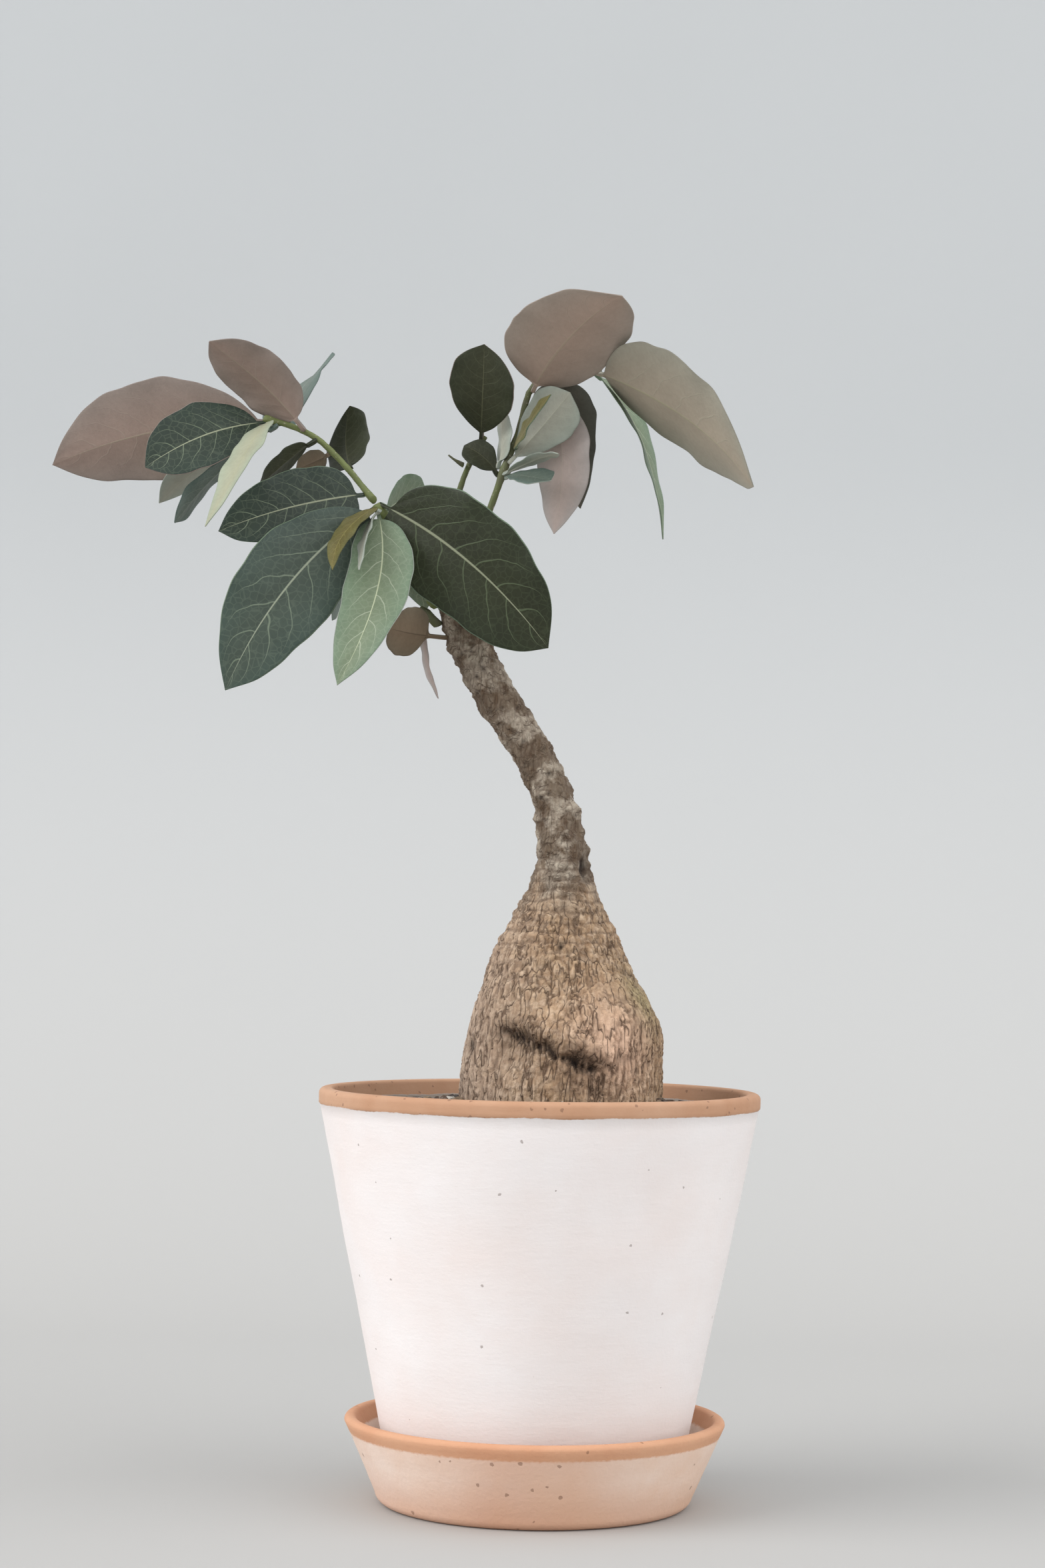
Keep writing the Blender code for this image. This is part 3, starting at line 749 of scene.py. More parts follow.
def leaf_rows(co, along):
    """The leaf's corners in rows of ten, stalk or tip first. A corner that the solid lost is doubled up."""
    co = co[np.argsort(co @ along)]
    while len(co) % 10:
        tries = [np.insert(co, i, co[i], axis=0) for i in range(0, len(co), 10)]
        whole = len(tries[0]) // 10 * 10
        co = min(tries, key=lambda t: np.ptp((t[:whole] @ along).reshape(-1, 10), axis=1).sum())
    return co.reshape(-1, 10, 3)


def read_leaf(node):
    """The leaf's directions, length, bend and outline, read back from its solid."""
    co = merged_points(node)
    if not 86 < len(co) <= 90:
        raise RuntimeError(f"{node} has {len(co)} corners, not nine rows of ten")
    first = co[np.argmax(((co - co.mean(0)) ** 2).sum(1))]
    last = co[np.argmax(((co - first) ** 2).sum(1))]
    for _ in range(4):
        along = unit(last - first)
        rows = leaf_rows(co, along)
        first, last = rows[0].mean(0), rows[-1].mean(0)
    widths = [np.linalg.norm(r.max(0) - r.min(0)) for r in rows]
    if widths[0] < widths[-1]:
        rows = rows[::-1]
        along = -along
    broad = max(rows, key=lambda r: np.linalg.norm(r.max(0) - r.min(0)))
    across = np.linalg.svd(broad - broad.mean(0))[2][0]
    across = unit(across - along * (across @ along))
    out = np.cross(across, along)
    middles, halves, lift = [], [], 0.0
    for row in rows:
        s = row @ across
        order = np.argsort(np.abs(s - (s.max() + s.min()) / 2))
        middle = row[order[:2]].mean(0)
        middles.append(middle)
        halves.append((s.max() - s.min()) / 2)
        lift += (row[order[-4:]].mean(0) - middle) @ out
    if lift < 0:
        across, out = -across, -out
    middles, halves = np.array(middles), np.array(halves)
    seat = middles[0]
    length = (middles[-1] - seat) @ along
    share = (middles - seat) @ along / length
    hump = 4 * share * (1 - share)
    arch = hump @ ((middles - seat) @ out) / (hump @ hump) / length
    sweep = hump @ ((middles - seat) @ across) / (hump @ hump) / length
    stalk = share[1]
    blade = ((share - stalk) / (1 - stalk))[2:-1]
    terms = np.stack([np.log(blade), np.log(1 - blade), np.ones(len(blade))], 1)
    foot, tip, scale = np.linalg.lstsq(terms, np.log(halves[2:-1]), rcond=None)[0]
    return dict(seat=seat, along=along, across=across, out=out, length=length, arch=arch, sweep=sweep,
                stalk=stalk, foot=foot, tip=tip, scale=np.exp(scale))


def vein_phase(along, side):
    """Where a point lies between side veins, matching the veins' finish."""
    reach = np.abs(side)
    bent = along - VEIN_CURVE * reach**VEIN_POWER - VEIN_LEAN * reach
    return bent * VEIN_PAIRS + VEIN_LAG * (side > 0)


def grow_leaf(node, looks, seed):
    """Bend a grid into the leaf, then thicken and smooth it."""
    shape = read_leaf(node)
    length = shape["length"]
    columns = 17
    blade_rows = int(round(18 + length / MM / 3.2))
    stalk_rows = 4
    rows = stalk_rows + blade_rows
    start_clean()
    bpy.ops.mesh.primitive_grid_add(x_subdivisions=rows - 1, y_subdivisions=columns - 1, size=2)
    obj = bpy.context.object
    mesh = obj.data
    mesh.uv_layers[0].name = "leaf"
    grid = points_of(mesh)
    row = np.rint((grid[:, 0] + 1) / 2 * (rows - 1)).astype(int)
    side = np.sign(grid[:, 1]) * np.abs(grid[:, 1]) ** 1.25
    share_of_row = np.concatenate([
        np.linspace(-looks.stalk_sink / length, shape["stalk"], stalk_rows + 1)[:-1],
        shape["stalk"] + (1 - shape["stalk"]) * 0.5 * (1 - np.cos(pi * np.linspace(0, 1, blade_rows))),
    ])
    share = share_of_row[row]
    blade = np.clip((share - shape["stalk"]) / (1 - shape["stalk"]), 0, 1)
    most = shape["scale"] * blade ** shape["foot"] * (1 - blade) ** shape["tip"]
    ahead = (1 - blade) / looks.tip_reach
    most *= (ahead / (1 + ahead**4) ** 0.25) ** np.maximum(0, 1.0 - shape["tip"])
    rim = np.where(blade > 0, 0.00055 * (1 - blade) + 0.00012, 0.00062)
    half = np.sqrt(most**2 + rim**2)
    rng = np.random.default_rng(seed)
    p1, p2, p3 = rng.uniform(0, 2 * pi, 3)
    widest = half.max()
    edge = np.abs(side)
    full = np.clip(half / widest, 0, 1)
    wave = np.sin(2 * pi * 2.1 * blade + p1 + 1.1 * (side > 0))
    wave += 0.6 * np.sin(2 * pi * 4.3 * blade + p2 - (side > 0))
    lift = half * looks.leaf_fold * edge
    lift += looks.leaf_wave * wave * edge**2.2 * full * step(blade, 0.04, 0.3) * min(1, length / 0.05)
    quilt = np.cos(2 * pi * (vein_phase(blade, side) - 0.5))
    lift -= looks.leaf_quilt * quilt * step(edge, 0.05, 0.3) * (1 - edge**3) * full * min(1, length / 0.04)
    lift += 0.035 * length * np.sin(pi * blade) * np.sin(p3 + 2.5 * blade) * 0.35
    outline = 1 + 0.022 * np.sin(2 * pi * 3.1 * blade + p3) * np.sign(side)
    outline += 0.012 * np.sin(2 * pi * 7 * blade + p1)
    hump = 4 * share * (1 - share)
    centre = shape["seat"] + length * (
        np.outer(share, shape["along"])
        + np.outer(hump * shape["arch"], shape["out"])
        + np.outer(hump * shape["sweep"], shape["across"])
    )
    co = centre + np.outer(side * half * outline, shape["across"]) + np.outer(lift, shape["out"])
    put_points(mesh, co)
    turn = mesh.polygons[len(mesh.polygons) // 2].normal.dot(Vector(shape["out"]))
    uv = np.empty(len(mesh.loops) * 2)
    where = np.empty(len(mesh.loops), int)
    mesh.loops.foreach_get("vertex_index", where)
    uv[0::2] = blade[where]
    uv[1::2] = 0.5 + 0.5 * side[where]
    mesh.uv_layers[0].data.foreach_set("uv", uv)
    stain = np.exp(-(((blade - 0.36) / 0.15) ** 2)) * np.exp(-(((side - 0.62) / 0.5) ** 2))
    write_attribute(mesh, "stain", stain)
    if turn < 0:
        flip(obj)
    thick = looks.leaf_thickness + 0.00035 * np.exp(-((edge / 0.07) ** 2)) * (1 - blade)
    thick = np.where(blade <= 0, 0.0012, thick)
    thick += 0.0003 * np.exp(-((share * length / 0.0012) ** 2))
    most_thick = thick.max()
    flesh = obj.vertex_groups.new(name="flesh")
    for index, weight in enumerate(thick / most_thick):
        flesh.add([index], float(weight), "REPLACE")
    shell = obj.modifiers.new("Thickness", "SOLIDIFY")
    shell.thickness = most_thick
    shell.offset = -1
    shell.vertex_group = "flesh"
    shell.material_offset = 1
    shell.material_offset_rim = 1
    soft = obj.modifiers.new("Soft", "SUBSURF")
    soft.levels = soft.render_levels = 1
    return obj


# Trunk


def trunk_axis(co):
    """Mean x, y and radius of the trunk by height."""
    heights = np.arange(co[:, 2].min() + 0.002, co[:, 2].max() - 0.001, 0.002)
    table = []
    for z in heights:
        ring = co[np.abs(co[:, 2] - z) < 0.0025]
        if len(ring) < 6:
            continue
        middle = (ring[:, :2].max(0) + ring[:, :2].min(0)) / 2
        table.append((z, *middle, np.hypot(*(ring[:, :2] - middle).T).mean()))
    return np.array(table)


def crack(points, width):
    """1 along the cell borders of a set of points and 0 inside the cells."""
    out = np.empty(len(points))
    for i, p in enumerate(points):
        near = noise.voronoi(Vector(p))[0]
        out[i] = near[1] - near[0]
    return 1 - step(out, 0, width)


def cloud(points, octaves=3):
    return np.array([noise.fractal(Vector(p), 0.7, 2.0, octaves) for p in points])


def near_line(x, z, route):
    """Distance of each (x, z) to a broken line."""
    best = np.full(len(x), 1e9)
    for (ax, az), (bx, bz) in zip(route, route[1:]):
        dx, dz = bx - ax, bz - az
        t = np.clip(((x - ax) * dx + (z - az) * dz) / (dx * dx + dz * dz), 0, 1)
        best = np.minimum(best, np.hypot(x - ax - dx * t, z - az - dz * t))
    return best


# The crease's route over the front of the caudex, in mm: x, then height above the soil.
CREASE = [(-15.2, 27.3), (-4.0, 24.0), (7.3, 19.2), (17.5, 15.0)]
# Pits in mm: x, y, height above the soil, then half width, half height and depth.
PITS = (
    (-24.6, -11.6, 21.4, 1.8, 2.6, 2.2),
    (6.4, -21.4, 56.0, 1.1, 1.5, 1.0),
    (14.8, -5.3, 82.7, 2.0, 4.6, 2.6),
)
# Knuckles left by old leaf stalks along the stem's front, in mm: x, height above the soil, size.
KNUCKLES = (
    (-22.5, 134.7, 2.6), (-19.5, 130.0, 2.0), (-10.5, 116.8, 2.2), (3.0, 125.0, 2.0), (-27.0, 148.0, 2.0),
    (-33.0, 154.0, 1.8), (-17.0, 139.0, 1.6), (-8.0, 128.0, 1.6), (-24.0, 158.0, 1.6), (0.0, 110.0, 1.6),
)


def carve_bark(mesh, looks):
    """Furrow the caudex, knuckle the stem and mark pits, and note where for the finish, including where it
    paints shade in the furrows, the crease and the pits.
    """
    co = points_of(mesh)
    no = normals_of(mesh)
    axis = trunk_axis(co)
    z = co[:, 2]
    middle_y = np.interp(z, axis[:, 0], axis[:, 2])
    radius = np.interp(z, axis[:, 0], axis[:, 3])
    mm = co / MM
    x_mm = mm[:, 0]
    up = (z - SOIL_HIGH.z) / MM
    front = step(-(co[:, 1] - middle_y) / radius, 0.1, 0.5)
    sway = np.stack([cloud(mm / (7, 7, 9) + shift, 2) for shift in (0.0, 40.0)], 1)
    bent = mm + 1.6 * np.column_stack([sway[:, 0], sway[:, 1], 2.2 * sway[:, 0]])
    lumps = cloud(mm / (17, 17, 22), 2)
    patchy = cloud(mm / (8, 8, 14) + 21.0, 2)
    stem = step(up + 6 * patchy, 62, 84)
    plates = crack(bent / (3.1, 3.1, 11.5) + 3.1, 0.22) * step(patchy, -0.45, 0.05)
    small = crack(bent / (1.9, 1.9, 4.6) + 7.7, 0.3)
    grain = cloud(mm / (1.4, 1.4, 2.6), 3)
    knots = crack(bent / (4.2, 4.2, 2.4) + 1.3, 0.3) * step(patchy, -0.5, 0.2)
    folds = np.sin(up * 1.75 + 3.2 * cloud(mm / (12, 12, 12), 1) + 0.8 * grain)
    collar = step(up, 46, 60) * (1 - step(up, 80, 96))
    push = (1 - stem) * (1.1 * lumps - 0.75 * plates - 0.32 * small * (1 - plates) + 0.28 * grain)
    push += stem * (0.85 * cloud(mm / (5, 5, 5) + 5.0, 2) - 0.42 * knots - 0.16 * small + 0.32 * grain)
    push += collar * 0.32 * folds * (0.7 + 0.7 * patchy)
    # Where the finish paints shade down in the furrows, cracks and the neck's fold troughs.
    crevice = (1 - stem) * (0.75 * plates + 0.25 * small) + stem * 0.7 * knots
    crevice += collar * step(-folds, 0.55, 1)
    # Leaf scars climb the stem in a spiral of knuckles.
    pit = np.zeros(len(co))
    top = axis[-1, 0]
    spots = []
    for k in range(34):
        height = SOIL_HIGH.z + (88 + k * 2.75) * MM
        if height < top - 0.002:
            cx, cy, r = (np.interp(height, axis[:, 0], axis[:, i]) for i in (1, 2, 3))
            spots.append((cx + r * cos(2.4 * k), cy + r * sin(2.4 * k), height, 1.6 + 0.5 * (k % 3)))
    for x, height, size in KNUCKLES:
        height = SOIL_HIGH.z + height * MM
        near = np.abs(z - height) < 0.002
        edge = co[near & (np.abs(co[:, 0] - x * MM) < 0.004)]
        if len(edge):
            spots.append((*edge[np.argmin(edge[:, 1])], size))
    for x, y, height, size in spots:
        away = np.linalg.norm(mm - np.array((x, y, height)) / MM, axis=1)
        low = np.linalg.norm(mm - np.array((x, y, height)) / MM - (0, 0, -0.8 * size), axis=1)
        knuckle = 0.56 * falloff(away, size) - 0.30 * falloff(low, 0.45 * size)
        push += knuckle * size * looks.scar_size
        # Painted shade in the dent under each knuckle.
        pit = np.maximum(pit, 0.85 * falloff(low, 0.36 * size) * step(grain, -0.4, 0.1))
    # The old crease across the front, its ledge above and its hollow below, with painted shade in the crease
    # and the hollow.
    wander = 1.6 * cloud(mm / (5, 5, 5) + 9.0, 2)
    to_crease = near_line(x_mm, up + wander, CREASE)
    below = np.interp(x_mm, [p[0] for p in CREASE], [p[1] for p in CREASE]) - up
    span = step(x_mm, -19, -9) * (1 - step(x_mm, 19, 27)) * front
    gape = 1.2 + 1.5 * falloff(x_mm + 9.0, 6.5) + 1.3 * falloff(x_mm - 14.0, 5.5)
    push -= (2.6 + 1.2 * grain) * falloff(to_crease, 1.1 + 0.7 * gape) * front * span
    push += 1.5 * np.exp(-(((below + 5.0) / 4.0) ** 2)) * span
    push -= 1.9 * np.exp(-(((below - 6.0) / 5.5) ** 2)) * span
    ragged = step(grain + 0.6 * patchy, -0.5, 0.35)
    # Near-black painted shade down in the crease.
    pit = np.maximum(pit, 0.95 * falloff(to_crease, gape) * front * span * (0.3 + 0.7 * ragged))
    # Painted shade in and around the crease and in the hollow below it.
    grime = 0.95 * falloff(to_crease, 2.4 + 2.0 * gape) * front * span * (0.45 + 0.55 * ragged)
    grime = np.maximum(grime, 0.7 * np.exp(-(((below - 5.5) / 6.0) ** 2)) * span * (0.4 + 0.6 * ragged))
    # Darker bark in the lowest few mm, at the soil.
    grime = np.maximum(grime, 0.5 * (1 - step(up, 1, 7)) * step(patchy, -0.4, 0.3))
    # A swelling at the lower right, the pits with painted shade in them, and a small knob at the right.
    swell = falloff(np.linalg.norm(mm - (26.0, -27.0, SOIL_HIGH.z / MM + 22.0), axis=1), 16.0)
    push += 2.0 * swell
    for x, y, height, wide, tall, deep in PITS:
        place = np.stack([x_mm - x, mm[:, 1] - y, up - height], 1)
        away = np.linalg.norm(place / (wide, 2.2 * wide, tall), axis=1)
        push -= deep * falloff(away, 1.0)
        # Near-black painted shade in each pit.
        pit = np.maximum(pit, falloff(away, 0.95))
    knob = falloff(np.linalg.norm(mm - (41.0, -8.0, SOIL_HIGH.z / MM + 30.0), axis=1), 2.6)
    push += 1.8 * knob
    # The small knob is darker bark.
    grime = np.maximum(grime, 0.7 * knob)
    put_points(mesh, co + no * (push * MM * looks.bark_depth)[:, None])
    moss = falloff(np.linalg.norm((mm - (34.0, -12.0, SOIL_HIGH.z / MM + 38.0)) / (1, 1.3, 1.5), axis=1), 8.0)
    for name, values in zip(BARK_ATTRIBUTES, (crevice, stem, pit, swell, moss, grime)):
        write_attribute(mesh, name, np.clip(values, 0, 1))


# What a user would change


def length(name, description, default):
    return FloatProperty(name=name, description=description, default=default, unit="LENGTH")


def amount(name, description, default):
    return FloatProperty(name=name, description=description, default=default)


def angle(name, description, default):
    return FloatProperty(name=name, description=description, default=default, subtype="ANGLE")


def count(name, description, default, least=0):
    return IntProperty(name=name, description=description, default=default, min=least)


def tint(name, description, default):
    return FloatVectorProperty(name=name, description=description, default=default, subtype="COLOR")


class PotLooks(bpy.types.PropertyGroup):
    """Sizes and colours of the clay."""

    lip_height: length("Lip height", "Height of the bare lip", 0.0052)
    wall: length("Wall", "Thickness of the pot's wall", 0.0045)
    floor: length("Floor", "Thickness of the pot's floor", 0.007)
    foot_round: length("Foot round", "Radius of the pot's foot edge", 0.002)
    drain: length("Drain hole", "Diameter of the drain hole", 0.018)
    saucer_wall: length("Saucer wall", "Thickness of the saucer's wall", 0.0042)
    saucer_floor: length("Saucer floor", "Thickness of the saucer's floor", 0.0065)
    saucer_flare: length("Saucer flare", "How far the wall leans out", 0.0123)
    saucer_edge: length("Saucer edge", "Radius of the saucer's foot edge", 0.0045)
    rim_band: length("Rim band", "Height of the saucer's bare rim", 0.0052)
    unevenness: length("Unevenness", "Depth of the hand-made waver", 0.00035)
    sides: count("Sides", "Steps round each turned piece", 144, 24)
    grit_stones: count("Grit stones", "Stones strewn over the soil", 1250)
    mound_stones: count("Mound stones", "Stones heaped against the caudex", 170)
    slip_colour: tint("Slip", "Chalky slip", (0.84, 0.795, 0.785))
    slip_blush: tint("Slip blush", "Where clay warms the slip", (0.81, 0.725, 0.695))
    slip_grey: tint("Slip grey", "Where the slip has greyed", (0.74, 0.70, 0.69))
    lip_colour: tint("Lip", "Bare clay of the lip", (0.46, 0.245, 0.14))
    lip_light: tint("Lip light", "Paler clay of the lip", (0.56, 0.34, 0.22))
    clay_colour: tint("Clay", "Bare clay of the saucer", (0.56, 0.27, 0.15))
    clay_light: tint("Clay light", "Paler clay of the saucer", (0.64, 0.36, 0.22))
    wash_colour: tint("Wash", "Whitish wash on the saucer", (0.83, 0.70, 0.62))
    wash_warm: tint("Wash warm", "Where clay shows through the wash", (0.74, 0.53, 0.41))


class BarkLooks(bpy.types.PropertyGroup):
    """Relief and colours of the bark."""

    bark_depth: amount("Bark depth", "Strength of the carved relief", 1.0)
    scar_size: amount("Scar size", "Strength of the stem's leaf scars", 1.0)
    grain_size: length("Grain size", "Size of the carved mesh's faces", 0.00058)
    bark_tan: tint("Tan", "Sunlit bark plates", (0.58, 0.405, 0.255))
    bark_shade: tint("Shade", "Darker streaks", (0.27, 0.16, 0.085))
    bark_brown: tint("Brown", "Broad darker areas", (0.36, 0.225, 0.125))
    bark_grey: tint("Grey", "Greyed areas", (0.56, 0.46, 0.40))
    # Painted shade in and below the crease's hollow; darker bark at the soil and on the knob.
    bark_grime: tint("Grime", "In the hollow and at the soil", (0.13, 0.08, 0.045))
    bark_pale: tint("Pale", "Weathered patches", (0.76, 0.59, 0.44))
    bark_pink: tint("Pink", "The swelling at the lower right", (0.95, 0.63, 0.46))
    bark_moss: tint("Green", "Algae at the right shoulder", (0.30, 0.29, 0.13))
    # Painted shade down in the furrows and cracks.
    bark_furrow: tint("Furrow", "Down in the furrows", (0.075, 0.038, 0.020))
    stem_brown: tint("Stem brown", "Brown patches of the stem", (0.11, 0.068, 0.037))
    stem_grey: tint("Stem grey", "Grey patches of the stem", (0.215, 0.165, 0.118))
    stem_pale: tint("Stem pale", "Pale flecks of the stem", (0.48, 0.41, 0.325))
    twig_young: tint("Young twig", "Green twig bark", (0.16, 0.19, 0.06))
    twig_old: tint("Old twig", "Grey-brown twig bark", (0.11, 0.105, 0.065))


class LeafLooks(bpy.types.PropertyGroup):
    """Sizes and colours of the leaves."""

    leaf_thickness: length("Thickness", "Thickness of a blade", 0.0004)
    stalk_sink: length("Stalk sink", "How far a stalk runs into its twig", 0.0012)
    leaf_fold: amount("Fold", "Rise of each half, as a share of its width", 0.12)
    tip_reach: amount("Tip reach", "Share of a blade that narrows to its point", 0.11)
    leaf_wave: length("Wave", "Height of the wavy edge", 0.0006)
    leaf_quilt: length("Quilting", "Depth of the dips at side veins", 0.00018)
    teal: tint("Teal", "Upper side in good light", (0.055, 0.080, 0.062))
    deep: tint("Deep green", "Upper side in shade", (0.022, 0.037, 0.025))
    forest: tint("Forest", "Darkest upper side", (0.022, 0.028, 0.010))
    olive: tint("Olive", "Dark olive leaves", (0.032, 0.036, 0.016))
    sage: tint("Sage", "Pale grey-green", (0.16, 0.215, 0.135))
    slate: tint("Slate", "Bluish grey-green", (0.11, 0.15, 0.125))
    mist: tint("Mist", "Palest grey-green", (0.36, 0.38, 0.32))
    cream: tint("Cream", "Cream underside", (0.34, 0.36, 0.26))
    young: tint("Young", "Young brown-green leaf", (0.13, 0.115, 0.032))
    taupe: tint("Taupe", "Pinkish-grey underside", (0.275, 0.212, 0.178))
    rose: tint("Rose", "Sunlit pinkish underside", (0.375, 0.295, 0.24))
    fawn: tint("Fawn", "Yellowish-grey underside", (0.34, 0.305, 0.24))
    blush: tint("Blush", "Pale pink underside", (0.48, 0.41, 0.38))
    russet: tint("Russet", "Brownish underside", (0.17, 0.13, 0.085))
    umber: tint("Umber", "Shaded underside", (0.12, 0.115, 0.09))


class StageLooks(bpy.types.PropertyGroup):
    """Floor, backdrop, lights and camera."""

    floor_colour: tint("Floor", "Pale floor", (0.44, 0.432, 0.42))
    wall_colour: tint("Wall", "Pale backdrop", (0.53, 0.545, 0.552))
    depth: length("Depth", "Front to back of the floor", 9.0)
    wall_distance: length("Wall distance", "Pot's axis to the backdrop", 0.9)
    cove: length("Cove", "Radius where the floor turns up", 0.5)
    lens: amount("Lens", "Focal length in mm over a 36 mm long side", 72.0)
    distance: length("Distance", "Camera to the pot's axis", 1.0689)
    height: length("Height", "Camera height", 0.19523)
    pitch: angle("Pitch", "Camera tilt upwards", 0.04435)
    turn: angle("Turn", "Camera turn to the right", -0.00707)
    roll: angle("Roll", "Camera roll", 0.01637)
    key: amount("Key light", "Strength of the large soft light", 2.0)
    fill: amount("Fill light", "Strength of the opposite soft light", 1.45)
    top: amount("Top light", "Strength of the soft light overhead", 0.8)
    sky: amount("Sky", "Strength of the even light all round", 0.75)


# Operators

MOST_TRIES = 60000  # places tried for a stone before the soil counts as full


def rolled_stone(corners, size, rng):
    """A stone's corners, roughened, turned and sized at random."""
    shape = corners * rng.uniform(0.72, 1.15, 3) + rng.normal(0, 0.055, corners.shape)
    turn = Matrix.Rotation(rng.uniform(0, 6.28), 3, "X") @ Matrix.Rotation(rng.uniform(0, 6.28), 3, "Z")
    return shape @ np.array(turn).T * size


class PHYLLANTHUS_OT_pot(bpy.types.Operator):
    """Turn the pot, uneven as by hand, under chalky slip with a bare lip"""

    bl_idname = "phyllanthus.pot"
    bl_label = "Pot"

    def execute(self, context):
        looks = context.scene.phyllanthus_pot
        z0, top = POT_LOW.z, POT_HIGH.z
        lip = top - looks.lip_height
        radius = POT_HIGH.x
        feet = merged_points("pot")
        base = np.hypot(*feet[feet[:, 2] < z0 + 0.0025][:, :2].T).max()
        prouder = 0.0005
        wall_top = radius - prouder
        foot = looks.foot_round
        profile = [(looks.drain / 2, z0 + looks.floor), (looks.drain / 2, z0)]
        profile += line(profile[-1], (base - foot, z0), 4)
        profile += corner(base - foot, z0 + foot, foot, -90, 0, 5)[1:]
        profile += line(profile[-1], (wall_top, lip - 0.0002), 34)
        profile += [(wall_top + prouder * 0.5, lip), (radius, lip + 0.0004)]
        profile += line(profile[-1], (radius, top - 0.0018), 3)
        profile += corner(radius - 0.0018, top - 0.0018, 0.0018, 0, 90, 6)[1:]
        inner_top = wall_top - looks.wall
        profile += corner(inner_top + 0.0013, top - 0.0013, 0.0013, 90, 180, 5)
        inner_foot = base - looks.wall + 0.0019
        profile += line(profile[-1], (inner_foot, z0 + looks.floor + foot), 16)
        profile += corner(inner_foot - foot, z0 + looks.floor + foot, foot, 0, -90, 5)[1:]
        profile += line(profile[-1], (looks.drain / 2, z0 + looks.floor), 4)
        obj = turned("pot_clay", profile, looks.sides)
        hand_made(obj, looks.unevenness, 4.0, z0 + 0.001)
        only(obj)
        bpy.ops.object.shade_smooth_by_angle(angle=radians(50))
        settle(obj, "pot_clay", "slip_coated_clay", [slip_clay(looks)], "pot")
        return {"FINISHED"}


class PHYLLANTHUS_OT_saucer(bpy.types.Operator):
    """Turn the saucer in bare clay with a washed side"""

    bl_idname = "phyllanthus.saucer"
    bl_label = "Saucer"

    def execute(self, context):
        looks = context.scene.phyllanthus_pot
        z0, top = SAUCER_LOW.z, SAUCER_HIGH.z
        rim = SAUCER_HIGH.x
        base = rim - looks.saucer_flare
        edge = looks.saucer_edge
        lip = 0.0017
        floor = z0 + looks.saucer_floor
        inner = base + looks.saucer_flare * looks.saucer_floor / (top - z0) - looks.saucer_wall
        profile = [(0, z0), (0.02, z0)]
        profile += line(profile[-1], (base - edge * 0.6, z0), 5)
        profile += corner(base - edge * 0.6, z0 + edge, edge, -90, -10, 7)[1:]
        profile += line(profile[-1], (rim, top - lip), 16)
        profile += corner(rim - lip, top - lip, lip, 0, 90, 5)[1:]
        profile += corner(rim - looks.saucer_wall + lip, top - lip, lip, 90, 170, 5)
        profile += line(profile[-1], (inner + 0.0008, floor + 0.002), 10)
        profile += corner(inner - 0.0012, floor + 0.002, 0.002, 0, -90, 4)[1:]
        profile += line(profile[-1], (0.02, floor), 4)
        profile += [(0, floor)]
        obj = turned("saucer_clay", profile, looks.sides)
        hand_made(obj, looks.unevenness, 9.0, z0 + 0.001)
        only(obj)
        bpy.ops.object.shade_smooth_by_angle(angle=radians(50))
        settle(obj, "saucer_clay", "bare_clay", [bare_clay(looks)], "saucer")
        return {"FINISHED"}


